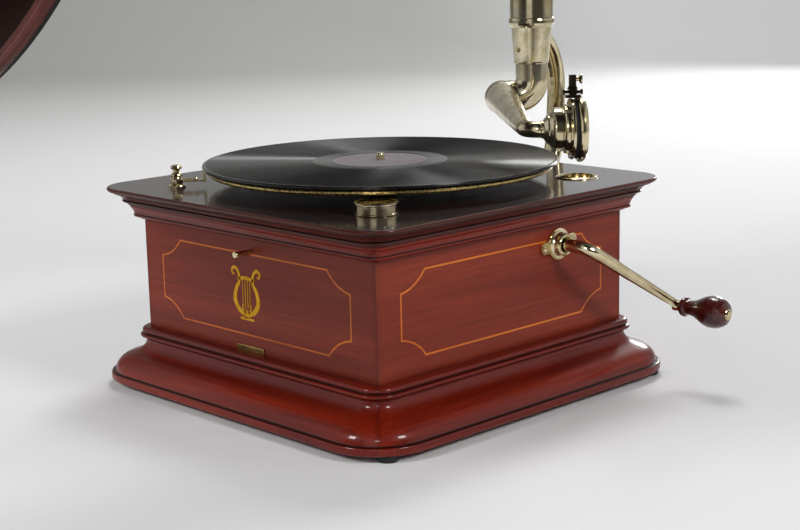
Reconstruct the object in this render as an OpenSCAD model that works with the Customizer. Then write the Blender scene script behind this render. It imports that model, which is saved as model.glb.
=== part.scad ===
// Horn gramophone. A square wooden case holds a spring motor under its deck.
// The motor turns a felted turntable. A jointed tone arm carries the sound box
// and leads the sound through a socket into a wooden horn.
// Millimetres. X right, Y to the back, Z up. The spindle is the Z axis.
// The feet stand on z = 0. The front of the case faces -Y, the crank is on +X.

/* [Case] */
// Width and depth of the case body
body_w = 286; // [276:1:300]
// Height of the plain part of the case body
body_h = 92.7; // [88:0.1:110]
// Thickness of the body boards
wall = 9; // [8:0.5:11]
// Height of the plinth moulding
plinth_h = 43.6; // [40:0.1:50]
// Width and depth over the plinth
plinth_w = 364; // [350:1:380]
// Height of the red moulding under the deck
band_h = 14; // [12:1:18]
// Thickness of the deck
deck_t = 15.5; // [14:0.5:18]
// Width and depth over the deck
deck_w = 349; // [340:1:360]
// Height of a rubber foot
foot_h = 5.7; // [4:0.1:8]
// Diameter of a rubber foot
foot_d = 17; // [14:0.5:18]
// Width of the stringing line
inlay_w = 1.4; // [1.2:0.1:3]
// Distance from the stringing to the side of the face
inlay_side = 25.6; // [22:0.1:32]
// Height of the field inside the stringing
inlay_h = 66.6; // [60:0.1:72]
// Length of the bare plate on the front
plate_w = 33; // [25:1:45]
// Height of the bare plate
plate_h = 4.6; // [4:0.1:8]

/* [Turntable] */
// Diameter of the record
record_d = 300; // [290:1:302]
// Thickness of the record
record_t = 2.7; // [2:0.1:3]
// Diameter of the turntable
platter_d = 291; // [280:1:292]
// Thickness of the turntable edge
platter_t = 3.8; // [3:0.1:4.5]
// Gap from deck to turntable edge
platter_gap = 10.5; // [10:0.1:12]
// Thickness of the felt
felt_t = 1.5; // [1:0.1:3]
// Diameter of the spindle above the turntable
spindle_d = 7.2; // [7:0.1:7.5]
// Running clearance on the radius
run_c = 0.05; // [0.03:0.01:0.1]

/* [Deck fittings] */
// Diameter of the lidded needle cup over its beads
cup_d = 33.6; // [30:0.2:36]
// Height of the lidded needle cup
cup_h = 9.4; // [8.6:0.2:10.4]
// Diameter of the flush needle cup
open_cup_d = 36; // [32:1:38]
// Height of the brake knob
brake_h = 19; // [17:0.5:21]
// Length of the brake lever
brake_l = 25.2; // [22:0.2:25.4]

/* [Motor] */
// Distance between the motor plates
plate_gap = 91; // [88:1:94]
// Thickness of a motor plate
motor_t = 3; // [2.5:0.5:4]
// Diameter of the spring barrel
barrel_d = 84; // [76:1:86]
// Height of the spring barrel
barrel_h = 40; // [30:1:40]
// Thickness of the barrel wall
barrel_wall = 2; // [1.5:0.5:3]
// Diameter of the winding arbor
arbor_d = 10; // [8:0.5:12]
// Diameter of a governor weight
weight_d = 11; // [9:0.5:12]

/* [Crank] */
// Distance of the crank axis behind the spindle
crank_y = 60.5; // [58:0.5:64]
// Radius of the crank knob path
crank_r = 111.5; // [90:0.5:111.5]
// Diameter of the crank shaft
crank_d = 10.5; // [9:0.5:11]
// Diameter of the crank arm at the knob
arm_end_d = 7; // [6:0.5:8]
// Largest diameter of the knob
knob_d = 27; // [22:0.5:28]
// Length of the wooden knob
knob_l = 45; // [38:1:48]
// Diameter of the round body of the escutcheon
boss_d = 25.6; // [24:0.2:27]
// Distance between the escutcheon screws
boss_screws = 33.4; // [32:0.2:38]

/* [Tone arm] */
// Distance from spindle to tone arm pivot
pivot_y = 194; // [190:1:198]
// Turn of the tone arm away from the front at rest
arm_yaw = 48.3; // [46:0.1:52]
// Length from the lift hinge to the neck
arm_l = 182; // [176:1:186]
// Outer diameter of the socket at its bead
socket_d = 42; // [40:0.5:44]
// Diameter of the vertical tube
tube_d = 30; // [28:0.5:31]
// Diameter of the neck
neck_d = 13.3; // [12:0.1:14]
// Diameter of the sound box over its front ring
box_d = 54; // [50:0.5:55]
// Diameter of the diaphragm
diaphragm_d = 44; // [40:0.5:44]

/* [Horn] */
// Diameter of the mouth over its rim
horn_d = 495; // [400:5:500]
// Length of the bell along its axis
horn_l = 532.5; // [460:0.5:560]
// Upward tilt of the bell
horn_tilt = 11; // [8:0.5:16]
// Diameter of the bell at the throat
throat_d = 41; // [40:0.5:46]
// Thickness of the bell wall
horn_t = 4; // [3:0.5:6]
// Diameter of the roll around the mouth
rim_d = 14; // [10:0.5:16]

/* [Hidden] */
$fn = 48;
half = body_w / 2;
core = half - 2;
core_p = plinth_w / 2 - 48;
inner = half - wall;
z_plinth = foot_h;
z_body = z_plinth + plinth_h;
z_band = z_body + body_h;
z_deck = z_band + band_h;
z_top = z_deck + deck_t;
z_platter = z_top + platter_gap;
z_felt = z_platter + platter_t;
z_record = z_felt + felt_t;
z_play = z_record + record_t;
rail = core_p - 3;
board_t = 8;
z_board = z_plinth + 6;
deck_o = deck_w / 2 - core;
band_o = 14.8;
neck_o = half + 7.8 - core_p;
foot_x = plinth_w / 2 - 16.5;
foot_y = plinth_w / 2 - 26.5;
front_shift = -2.2;
z_mt = z_deck - 10;
z_mp = z_mt - plate_gap;
z_bolt = z_mt + motor_t;
barrel_x = 30;
z_b = z_mp + 11;
cr_n = 36;
wp_n = 12;
cr_m = 52 / cr_n;
cr_r = 26;
crank_z = z_deck - 30;
great_n = 96;
great_m = 1;
ip_n = 12;
iw_n = 72;
iw_m = 0.9;
sp_n = 12;
gw_n = 80;
gw_m = 0.8;
gp_n = 10;
d_si = (iw_n + sp_n) * iw_m / 2;
d_bi = (great_n + ip_n) * great_m / 2;
d_sb = sqrt(barrel_x * barrel_x + crank_y * crank_y);
k_i = (d_si * d_si - d_bi * d_bi + d_sb * d_sb) / (2 * d_sb);
h_i = sqrt(d_si * d_si - k_i * k_i);
ia = [(barrel_x * k_i + crank_y * h_i) / d_sb, (crank_y * k_i - barrel_x * h_i) / d_sb];
gov_y = -(gw_n + gp_n) * gw_m / 2;
post = platter_d / 2 + 26.2;
post_a = 229.7;
cup_x = 115.8;
cup_y = -114.6;
cup2_at = 117;
bulb_r = 15.7;
arm_off = 28;
z_arm = z_play + 36;
arm_dip = 2.6;
neck_z = z_arm - arm_l * sin(arm_dip);
neck_x = arm_l * cos(arm_dip);
z_sock = z_play + 67;
z_bead = z_sock + 34;
bend_r = 75;
z_elbow = z_bead + 8;
throat_y = pivot_y - bend_r * (1 - sin(horn_tilt));
throat_z = z_elbow + 29 + bend_r * cos(horn_tilt);
horn_e = 3.6;
shaft_x = half + 20;
lean = 11.6;
bend_c = 14;
arm_x0 = shaft_x + bend_c * cos(lean);
arm_y0 = bend_c * (1 - sin(lean));
arm_run = (crank_r - arm_y0) / cos(lean);
knob_x = arm_x0 + arm_run * sin(lean);
crank_a = -33;

// Piece to draw, or all of them

// A moulding run around a square with corner centres at c, from offset and height pairs
module run(pts, c) {
    for (k = [0:3])
        rotate([0, 0, 90 * k]) {
            translate([c, -c, 0])
                rotate([0, 0, -90])
                    rotate([90, 0, 0])
                        linear_extrude(2 * c)
                            polygon(pts);
            translate([c, -c, 0])
                rotate([0, 0, -90])
                    rotate_extrude(angle = 90)
                        polygon(pts);
        }
}

// A square frame that backs a moulding
module frame_bar(z0, z1, hole, c) {
    difference() {
        translate([-c - 0.4, -c - 0.4, z0])
            cube([2 * c + 0.8, 2 * c + 0.8, z1 - z0]);
        translate([-hole, -hole, z0 - 1])
            cube([2 * hole, 2 * hole, z1 - z0 + 2]);
    }
}

// Points of a quarter wave between two profile points
function cove(a, b, n, s) = [for (i = [0:n]) let (t = 90 * i / n)
    s > 0 ? [a[0] + (b[0] - a[0]) * sin(t), a[1] + (b[1] - a[1]) * (1 - cos(t))]
          : [a[0] + (b[0] - a[0]) * (1 - cos(t)), a[1] + (b[1] - a[1]) * sin(t)]];

module feet() {
    color("#151313")
        for (x = [-1, 1])
            for (y = [-1, 1])
                translate([x * foot_x, y * foot_y, 0])
                    difference() {
                        union() {
                            cylinder(d1 = foot_d - 2.4, d2 = foot_d - 0.6, h = 1);
                            translate([0, 0, 1])
                                cylinder(d1 = foot_d - 0.6, d2 = foot_d, h = foot_h - 1);
                        }
                        translate([0, 0, -1])
                            cylinder(d = 5, h = 2.8);
                    }
}

// Plinth section: share of its projection beyond the neck, share of its height
ogee = [[0.974, 0], [1, 0.018], [1, 0.11], [0.994, 0.128], [0.978, 0.142], [0.94, 0.15],
    [0.89, 0.152], [0.884, 0.168], [0.876, 0.2], [0.862, 0.236], [0.84, 0.272], [0.81, 0.308],
    [0.772, 0.342], [0.726, 0.374], [0.672, 0.404], [0.61, 0.43], [0.54, 0.453], [0.466, 0.473],
    [0.39, 0.491], [0.316, 0.509], [0.246, 0.529], [0.182, 0.552], [0.126, 0.578],
    [0.078, 0.608], [0.042, 0.64], [0.016, 0.675], [0.002, 0.71], [0, 0.735], [0.01, 0.762],
    [0.034, 0.784], [0.072, 0.8], [0.128, 0.81], [0.146, 0.822], [0.152, 0.838],
    [0.146, 0.854], [0.128, 0.866], [0.09, 0.876], [0.062, 0.88], [0.05, 0.89],
    [0.062, 0.9], [0.084, 0.912], [0.094, 0.93], [0.09, 0.952], [0.074, 0.972],
    [0.048, 0.988], [0.016, 0.997], [0, 1]];

module plinth() {
    w = plinth_w / 2 - half - 7.8;
    color("#6b1a10")
        translate([0, 0, z_plinth]) {
            frame_bar(0, plinth_h, rail, core_p);
            run(concat([[0, 0]],
                [for (p = ogee) [neck_o + w * p[0], plinth_h * p[1]]],
                [[0, plinth_h]]), core_p);
        }
}

module bottom_board() {
    color("#7a5a3a")
        translate([-rail + 0.1, -rail + 0.1, z_board])
            cube([2 * rail - 0.2, 2 * rail - 0.2, board_t]);
}

// The field of the stringing, grown or shrunk by d
module field(d) {
    a = half - inlay_side + d;
    b = inlay_h / 2 + d;
    difference() {
        square([2 * a, 2 * b], center = true);
        for (x = [-1, 1])
            for (y = [-1, 1])
                translate([x * (half - inlay_side + 4.8), y * (inlay_h / 2 + 21.3)])
                    circle(r = 37 - d);
    }
}

module line_cut(depth, w, shift) {
    translate([shift, -half - 1, z_body + body_h * 0.508])
        rotate([-90, 0, 0])
            linear_extrude(depth + 1)
                difference() {
                    field(w / 2);
                    field(-w / 2);
                }
}

module front_board(w, shift) {
    difference() {
        translate([-w, -half, z_body])
            cube([2 * w, wall, body_h]);
        line_cut(1.05, inlay_w + 0.1, shift);
    }
}

module case_front() {
    color("#5f2b22")
        difference() {
            front_board(half, front_shift);
            translate([0, -half - 1, z_band - 10])
                rotate([-90, 0, 0])
                    cylinder(d = 4.6 + 2 * run_c, h = wall + 2);
        }
}

module case_back() {
    color("#5f2b22")
        difference() {
            rotate([0, 0, 180])
                front_board(half, 0);
            for (x = [-12, 12])
                for (z = [-12, 12])
                    translate([x, half - wall - 1, z_band - 28 + z])
                        rotate([-90, 0, 0])
                            cylinder(d = 4, h = wall + 2);
        }
}

module case_left() {
    color("#5f2b22")
        rotate([0, 0, -90])
            front_board(inner - 0.02, 0);
}

module case_right() {
    color("#6e2f25")
        difference() {
            rotate([0, 0, 90])
                front_board(inner - 0.02, 0);
            translate([inner - 1, crank_y, crank_z])
                rotate([0, 90, 0])
                    cylinder(d = 17, h = wall + 2);
        }
}

module inlay() {
    color("#c8761e")
        difference() {
            for (k = [0:3])
                rotate([0, 0, 90 * k])
                    intersection() {
                        line_cut(1, inlay_w, k == 0 ? front_shift : 0);
                        translate([-half, -half, z_body])
                            cube([2 * half, wall, body_h]);
                    }
            translate([0, -half - 1, z_band - 10])
                rotate([-90, 0, 0])
                    cylinder(d = 4.6 + 2 * run_c, h = 4);
            translate([half - 3, crank_y, crank_z])
                rotate([0, 90, 0])
                    cylinder(d = 17, h = 4);
        }
}

module name_plate() {
    color("#c9b182")
        translate([-4.5, -half, z_body + 0.4 + plate_h / 2])
            rotate([90, 0, 0]) {
                difference() {
                    linear_extrude(0.7)
                        square([plate_w, plate_h], center = true);
                    for (x = [-1, 1])
                        translate([x * (plate_w / 2 - 2), 0, -1])
                            cylinder(d = 1.2, h = 3);
                }
                for (x = [-1, 1])
                    translate([x * (plate_w / 2 - 2), 0, 0]) {
                        cylinder(d = 1.2, h = 0.8);
                        translate([0, 0, 0.7])
                            cylinder(d1 = 1.9, d2 = 1.2, h = 0.4);
                    }
            }
}

module case_band() {
    color("#5a1d18")
        translate([0, 0, z_band]) {
            frame_bar(0, band_h, inner, core);
            run([[0, 0], [2.4, 0], [3.4, band_h * 0.015], [5.6, band_h * 0.08],
                [7.8, band_h * 0.16], [9.8, band_h * 0.22], [11.2, band_h * 0.25],
                [11.9, band_h * 0.29], [12.1, band_h * 0.35], [11.9, band_h * 0.4],
                [11.4, band_h * 0.42], [11.6, band_h * 0.5], [12.1, band_h * 0.6],
                [12.8, band_h * 0.7], [13.7, band_h * 0.79], [band_o - 0.1, band_h * 0.86],
                [band_o, band_h * 0.93], [band_o - 0.2, band_h], [0, band_h]], core);
        }
}

module deck() {
    o = deck_o;
    b = band_o;
    w = deck_o - band_o;
    t = deck_t;
    color("#1f0d0a")
        difference() {
            translate([0, 0, z_deck]) {
                translate([-core - 0.4, -core - 0.4, 0])
                    cube([2 * core + 0.8, 2 * core + 0.8, t]);
                run([[0, 0], [b + w * 0.08, 0], [b + w * 0.11, t * 0.04],
                    [b + w * 0.11, t * 0.14], [b + w * 0.28, t * 0.16],
                    [b + w * 0.33, t * 0.2], [b + w * 0.33, t * 0.25],
                    [b + w * 0.28, t * 0.29], [b + w * 0.3, t * 0.31],
                    [b + w * 0.36, t * 0.4], [b + w * 0.44, t * 0.49],
                    [b + w * 0.53, t * 0.56], [b + w * 0.62, t * 0.62],
                    [b + w * 0.7, t * 0.655], [b + w * 0.75, t * 0.67],
                    [b + w * 0.75, t * 0.745], [b + w * 0.9, t * 0.765],
                    [b + w * 0.96, t * 0.8], [b + w * 0.99, t * 0.85],
                    [o, t * 0.9], [o - 0.25, t * 0.95], [o - 0.8, t * 0.985],
                    [o - 1.6, t], [0, t]], core);
            }
            translate([0, 0, z_deck - 1])
                cylinder(d = 20, h = t + 2);
            for (p = bolt_at)
                translate([p[0], p[1], z_deck - 1])
                    cylinder(d = 5.4, h = t + 2);
            translate([cup2_at, cup2_at, z_top - 11])
                cylinder(d = open_cup_d - 5, h = 12);
        }
}

bolt_at = [[-40, 24], [66, -30], [-10, 98]];

module motor_bolts() {
    color("#8d8f92")
        for (p = bolt_at)
            translate([p[0], p[1], z_mt - 4])
                difference() {
                    union() {
                        cylinder(d = 5, h = z_top - z_mt + 4.5);
                        translate([0, 0, z_top - z_mt + 4])
                            cylinder(d = 10, h = 2.4);
                        cylinder(d = 9, h = 4);
                    }
                    translate([-6, -0.6, z_top - z_mt + 5.6])
                        cube([12, 1.2, 2]);
                }
}

module motor_bushes() {
    color("#1b1a1a")
        for (p = bolt_at)
            translate([p[0], p[1], z_bolt])
                difference() {
                    cylinder(d = 14, h = z_deck - z_bolt);
                    translate([0, 0, -1])
                        cylinder(d = 5.1, h = z_deck - z_bolt + 2);
                }
}

module motor_outline() {
    difference() {
        union() {
            translate([-42, -60])
                square([119, 175]);
            translate([-50, -52])
                square([135, 159]);
            for (p = pillar_at)
                translate(p)
                    circle(r = 8);
        }
    }
}

pillar_at = [[-42, -52], [77, -52], [-42, 107], [77, 107]];

module motor_top_plate() {
    color("#6f7376")
        difference() {
            translate([0, 0, z_mt])
                linear_extrude(motor_t)
                    motor_outline();
            translate([0, 0, z_mt - 1])
                cylinder(d = 8 + 2 * run_c, h = motor_t + 2);
            translate([0, gov_y, z_mt - 1])
                cylinder(d = 3 + 2 * run_c, h = motor_t + 2);
            translate([barrel_x, crank_y, z_mt - 1])
                cylinder(d = arbor_d - 2 + 2 * run_c, h = motor_t + 2);
            translate([ia[0], ia[1], z_mt - 1])
                cylinder(d = 3 + 2 * run_c, h = motor_t + 2);
            for (p = bolt_at)
                translate([p[0], p[1], z_mt - 1])
                    cylinder(d = 5.1, h = motor_t + 2);
            for (p = pillar_at)
                translate([p[0], p[1], z_mt - 1])
                    cylinder(d = 5, h = motor_t + 2);
        }
}

module motor_bottom_plate() {
    color("#6f7376")
        difference() {
            translate([0, 0, z_mp - motor_t])
                linear_extrude(motor_t)
                    motor_outline();
            translate([0, 0, z_mp - 2])
                cylinder(d = 6 + 2 * run_c, h = 3);
            translate([0, gov_y, z_mp - 2])
                cylinder(d = 3 + 2 * run_c, h = 3);
            translate([barrel_x, crank_y, z_mp - 2])
                cylinder(d = arbor_d - 2 + 2 * run_c, h = 3);
            translate([ia[0], ia[1], z_mp - 2])
                cylinder(d = 3 + 2 * run_c, h = 3);
            for (p = pillar_at)
                translate([p[0], p[1], z_mp - motor_t - 1])
                    cylinder(d = 5, h = motor_t + 2);
        }
}

module pillars() {
    color("#8d8f92")
        for (p = pillar_at)
            translate([p[0], p[1], z_mp - motor_t - 3]) {
                translate([0, 0, motor_t + 3])
                    cylinder(d = 9, h = plate_gap);
                cylinder(d = 4.9, h = plate_gap + 2 * motor_t + 6);
                cylinder(d = 8, h = 3);
                translate([0, 0, plate_gap + 2 * motor_t + 3])
                    cylinder(d = 8, h = 3);
            }
}

module winding_bearing() {
    color("#6f7376")
        translate([barrel_x + cr_r + 9, crank_y, 0])
            difference() {
                translate([0, -10, crank_z - 10])
                    cube([8, 20, z_mt - crank_z + 10]);
                translate([-1, 0, crank_z])
                    rotate([0, 90, 0])
                        cylinder(d = 8 + 2 * run_c, h = 10);
            }
}

// Points of a wheel with straight tooth flanks
function gear_pts(n, m, add, ded, rf, tf) = [for (i = [0:n - 1]) for (k = [0:3])
    let (a = 360 / n * (i + [-rf, -tf, tf, rf][k]),
        r = n * m / 2 + (k == 0 || k == 3 ? -ded * m : add * m))
    [r * cos(a), r * sin(a)]];

// A wheel with a tooth on its own +X side
module wheel(n, m, h) {
    linear_extrude(h)
        polygon(gear_pts(n, m, 0.9, 0.9, 0.24, 0.08));
}

// A pinion with a gap on its own +X side
module pinion(n, m, h) {
    rotate([0, 0, 180 / n])
        linear_extrude(h)
            polygon(gear_pts(n, m, 0.5, 1.2, 0.13, 0.13));
}

module winding_pinion() {
    color("#8d8f92")
        translate([barrel_x + cr_r - 3, crank_y, crank_z])
            rotate([0, 90, 0])
                difference() {
                    pinion(wp_n, cr_m, 6);
                    translate([0, 0, -1])
                        cylinder(d = 8, h = 8);
                }
}

module winding_wheel() {
    zt = crank_z - wp_n * cr_m / 2;
    color("#b08d4f")
        translate([barrel_x, crank_y, 0]) {
            translate([0, 0, z_mp + 0.3])
                cylinder(d = arbor_d, h = z_mt - z_mp - 0.6);
            translate([0, 0, z_mp - 1.8])
                cylinder(d = arbor_d - 2, h = z_mt - z_mp + motor_t + 1.8);
            translate([0, 0, zt - 6])
                cylinder(d = 18, h = 9);
            translate([0, 0, zt - 5])
                difference() {
                    cylinder(r = cr_r + 2.5, h = 3.4);
                    for (k = [0:4])
                        rotate([0, 0, 72 * k + 36])
                            translate([15.5, 0, -1])
                                cylinder(d = 8, h = 6);
                }
            for (k = [0:cr_n - 1])
                rotate([0, 0, 360 / cr_n * k])
                    translate([cr_r - 2, 0, zt - 1.8])
                        rotate([90, 0, 90])
                            linear_extrude(4)
                                polygon([[-1.05, 0], [1.05, 0], [0.4, 2.9], [-0.4, 2.9]]);
        }
}

module spring_barrel() {
    color("#b08d4f")
        translate([barrel_x, crank_y, z_b])
            difference() {
                union() {
                    cylinder(d = barrel_d, h = barrel_h - 2);
                    rotate([0, 0, atan2(ia[1] - crank_y, ia[0] - barrel_x)])
                        wheel(great_n, great_m, 4);
                }
                translate([0, 0, 2.5])
                    cylinder(d = barrel_d - 2 * barrel_wall, h = barrel_h);
                translate([0, 0, -1])
                    cylinder(d = arbor_d + 2 * run_c, h = 5);
            }
}

module barrel_cover() {
    color("#b08d4f")
        translate([barrel_x, crank_y, z_b + barrel_h - 2])
            difference() {
                union() {
                    cylinder(d = barrel_d, h = 2);
                    translate([0, 0, -3])
                        cylinder(d = barrel_d - 2 * barrel_wall - 0.2, h = 3.5);
                }
                translate([0, 0, -4])
                    cylinder(d = arbor_d + 2 * run_c, h = 8);
                translate([0, 0, -4])
                    cylinder(d = barrel_d - 2 * barrel_wall - 4, h = 3);
            }
}

// A strip wound in a spiral
function spiral(r0, dr, turns, w, n) = concat(
    [for (i = [0:n * turns]) let (a = 360 * i / n, r = r0 + dr * i / n)
        [r * cos(a), r * sin(a)]],
    [for (i = [n * turns:-1:0]) let (a = 360 * i / n, r = r0 + w + dr * i / n)
        [r * cos(a), r * sin(a)]]);

module mainspring() {
    color("#4b5158")
        translate([barrel_x, crank_y, z_b + 3])
            linear_extrude(barrel_h - 9)
                polygon(spiral(arbor_d / 2 + 1.5,
                    (barrel_d / 2 - barrel_wall - arbor_d / 2 - 3.2) / 7, 7, 0.8, 18));
}

module intermediate_wheel() {
    z_w = z_mp + 3;
    color("#b08d4f")
        translate([ia[0], ia[1], 0]) {
            translate([0, 0, z_mp + 0.3])
                cylinder(d = 5, h = plate_gap - 0.6);
            translate([0, 0, z_mp - 1.8])
                cylinder(d = 3, h = plate_gap + motor_t + 1.8);
            translate([0, 0, z_w])
                rotate([0, 0, atan2(-ia[1], -ia[0])])
                    difference() {
                        wheel(iw_n, iw_m, 3);
                        for (k = [0:3])
                            rotate([0, 0, 90 * k + 45])
                                translate([18, 0, -1])
                                    cylinder(d = 15, h = 5);
                    }
            translate([0, 0, z_w + 3])
                cylinder(d = 8, h = 2);
            translate([0, 0, z_w + 5])
                rotate([0, 0, atan2(crank_y - ia[1], barrel_x - ia[0])])
                    pinion(ip_n, great_m, 10);
        }
}

module spindle() {
    color("#a9acae")
        difference() {
            union() {
                translate([0, 0, z_mp - 1.8])
                    cylinder(d = 6, h = 4);
                translate([0, 0, z_mp + 0.3])
                    cylinder(d = 8, h = z_platter - z_mp - 0.3);
                translate([0, 0, z_mp + 1.5])
                    rotate([0, 0, atan2(ia[1], ia[0])])
                        pinion(sp_n, iw_m, 6);
                translate([0, 0, z_platter - 8])
                    cylinder(d = 14, h = 2);
                translate([0, 0, z_platter])
                    cylinder(d = spindle_d, h = z_play + 3.2 - z_platter);
                translate([0, 0, z_play + 3.2])
                    intersection() {
                        sphere(d = spindle_d);
                        cylinder(d = spindle_d, h = 2.1);
                    }
            }
            translate([0, 0, z_mp - 3])
                cylinder(d = 1, h = 1.5);
        }
}

module spindle_wheel() {
    color("#b08d4f")
        translate([0, 0, z_mp + 55])
            difference() {
                union() {
                    rotate([0, 0, -90])
                        wheel(gw_n, gw_m, 3);
                    cylinder(d = 16, h = 6);
                }
                translate([0, 0, -1])
                    cylinder(d = 8, h = 9);
                for (k = [0:4])
                    rotate([0, 0, 72 * k])
                        translate([19, 0, -1])
                            cylinder(d = 13, h = 5);
            }
}

module governor_shaft() {
    color("#a9acae")
        translate([0, gov_y, 0]) {
            translate([0, 0, z_mp + 0.3])
                cylinder(d = 4.4, h = plate_gap - 0.6);
            translate([0, 0, z_mp - 1.8])
                cylinder(d = 3, h = plate_gap + motor_t + 1.8);
            translate([0, 0, z_mp + 53.5])
                rotate([0, 0, 90])
                    pinion(gp_n, gw_m, 6);
            translate([0, 0, z_mp + 43])
                cylinder(d = 15, h = 6);
        }
}

module governor_disc() {
    color("#b08d4f")
        translate([0, gov_y, z_mp + 4])
            difference() {
                union() {
                    cylinder(d = 30, h = 2.5);
                    cylinder(d = 15, h = 8);
                }
                translate([0, 0, -1])
                    cylinder(d = 4.4, h = 10);
            }
}

module governor_springs() {
    color("#4b5158")
        translate([0, gov_y, z_mp + 5.5])
            for (k = [0:2])
                rotate([0, 0, 120 * k + 90])
                    translate([7.5, -2.5, 1.2])
                        cube([0.5, 5, 42.3]);
}

module governor_weights() {
    color("#b08d4f")
        translate([0, gov_y, z_mp + 28])
            for (k = [0:2])
                rotate([0, 0, 120 * k + 90])
                    translate([8 + weight_d / 2 - 0.4, 0, 0])
                        difference() {
                            sphere(d = weight_d);
                            translate([-weight_d / 2 - 0.1, -4, -4])
                                cube([0.5, 8, 8]);
                        }
}

module regulator_rod() {
    y_arm = gov_y - 15 - 5;
    color("#a9acae") {
        translate([0, -half - 17, z_band - 10])
            rotate([-90, 0, 0]) {
                cylinder(d = 4.6, h = y_arm + half + 17);
                cylinder(d1 = 3.8, d2 = 5.4, h = 1);
                translate([0, 0, 1])
                    cylinder(d = 5.4, h = 1.4);
            }
        translate([-3, y_arm - 2, z_mp + 2])
            cube([6, 2, z_band - 10 - z_mp + 1]);
        translate([0, y_arm - 1, z_mp + 5.2])
            rotate([-90, 0, 0])
                cylinder(d = 5, h = 5.4);
    }
}

// Crank in its own plane: x along the shaft, y out to the knob
module crank_plane() {
    translate([0, crank_y, crank_z])
        rotate([crank_a, 0, 0])
            children();
}

module crank() {
    color("#b9a67a")
        crank_plane() {
            rotate([0, 90, 0]) {
                translate([0, 0, barrel_x + cr_r - 3])
                    cylinder(d = 8, h = 30);
                translate([0, 0, barrel_x + cr_r + 19])
                    cylinder(d = crank_d, h = shaft_x - barrel_x - cr_r - 18);
            }
            translate([shaft_x, bend_c, 0])
                rotate([0, 0, -90])
                    rotate_extrude(angle = 90 - lean)
                        translate([bend_c, 0])
                            circle(d = crank_d + 0.3);
            translate([arm_x0, arm_y0, 0])
                rotate([-90, 0, 0])
                    rotate([0, lean, 0])
                        translate([0, 0, -1])
                            cylinder(d1 = crank_d, d2 = arm_end_d, h = arm_run + 1);
            translate([knob_x - 4, crank_r, 0])
                rotate([0, 90, 0]) {
                    cylinder(d = 9.4, h = 8);
                    cylinder(d = 6, h = knob_l + 9);
                    translate([0, 0, knob_l + 8.9])
                        cylinder(d1 = 7.6, d2 = 6, h = 0.9);
                }
        }
}

// Radius of the turned knob at a share t of its length beyond the collar
function knob_r(t) = t < 0.62
    ? 6.2 + (knob_d / 2 - 6.2) * (1 - cos(180 * t / 0.62)) / 2
    : 4.8 + (knob_d / 2 - 4.8) * sqrt(max(0, 1 - pow((t - 0.62) / 0.38, 2)));

module knob() {
    l = knob_l;
    color("#3a1c14")
        crank_plane()
            translate([knob_x + 4.3, crank_r, 0])
                rotate([0, 90, 0])
                    rotate_extrude()
                        polygon(concat([[3 + run_c, 0], [6.6, 0], [7.8, 0.7], [8.2, 2],
                            [8, 3.4], [7.2, 4.4], [6.5, 5.2]],
                            [for (i = [0:16]) [knob_r(i / 16), l * 0.15 + (l * 0.84) * i / 16]],
                            [[4.8, l], [4.7, l - 1.4], [3 + run_c, l - 1.4]]));
}

module knob_washer() {
    color("#c9b182")
        crank_plane()
            translate([knob_x + 4.3, crank_r, 0])
                rotate([0, 90, 0])
                    rotate_extrude()
                        polygon([[3 + run_c, knob_l - 1.4], [4.65, knob_l - 1.4],
                            [4.65, knob_l], [4.2, knob_l + 0.4], [3 + run_c, knob_l + 0.4]]);
}

module boss_outline(g) {
    circle(d = boss_d + g);
    for (s = [-1, 1])
        translate([s * boss_screws / 2, 0])
            circle(d = 10 + g);
    polygon([for (s = [-1, 1]) for (p = [[-1, -4.6], [-0.72, -5.4], [-0.5, -8.6], [0, -11],
        [0.5, -8.6], [0.72, -5.4], [1, -4.6]])
        [-s * p[0] * boss_screws / 2, -s * (p[1] - g / 2)]]);
}

module escutcheon() {
    color("#c2ab78")
        translate([half, crank_y, crank_z])
            rotate([0, 90, 0])
                rotate([0, 0, 96])
                    difference() {
                        union() {
                            linear_extrude(2)
                                boss_outline(0);
                            linear_extrude(2.8)
                                difference() {
                                    boss_outline(0);
                                    boss_outline(-1.8);
                                }
                            rotate_extrude()
                                polygon([[0, 0], [11, 1], [11, 3.2], [9.8, 3.8],
                                    [8.9, 5], [8.5, 6.6], [8.6, 7.6], [9.2, 8.4],
                                    [9.2, 9.4], [8.6, 10], [7.2, 10.2], [0, 10.2]]);
                            translate([0, 0, -wall - 2])
                                cylinder(d = 16.9, h = wall + 3);
                        }
                        translate([0, 0, 2])
                            cylinder(d = crank_d + 3.4, h = 10);
                        translate([0, 0, -wall - 3])
                            cylinder(d = crank_d + 2 * run_c, h = wall + 8);
                        for (s = [-1, 1])
                            translate([s * boss_screws / 2, 0, -1])
                                cylinder(d = 3.2, h = 5);
                    }
}

// A slotted screw with its head from z = 0 up and its shank below
module screw(d, l, hd, hh) {
    difference() {
        union() {
            translate([0, 0, -l])
                cylinder(d = d, h = l + 0.1);
            intersection() {
                cylinder(d = hd, h = hh);
                translate([0, 0, hh - hd * 0.9])
                    sphere(r = hd * 0.9);
            }
        }
        translate([-hd / 2 - 1, -hd * 0.07, hh * 0.5])
            cube([hd + 2, hd * 0.14, hh]);
    }
}

module escutcheon_screws() {
    color("#a9acae")
        translate([half, crank_y, crank_z])
            rotate([0, 90, 0])
                rotate([0, 0, 96])
                    for (s = [-1, 1])
                        translate([s * boss_screws / 2, 0, 2])
                            rotate([0, 0, 40 * s])
                                screw(3.1, 2, 5.6, 1.9);
}

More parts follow.
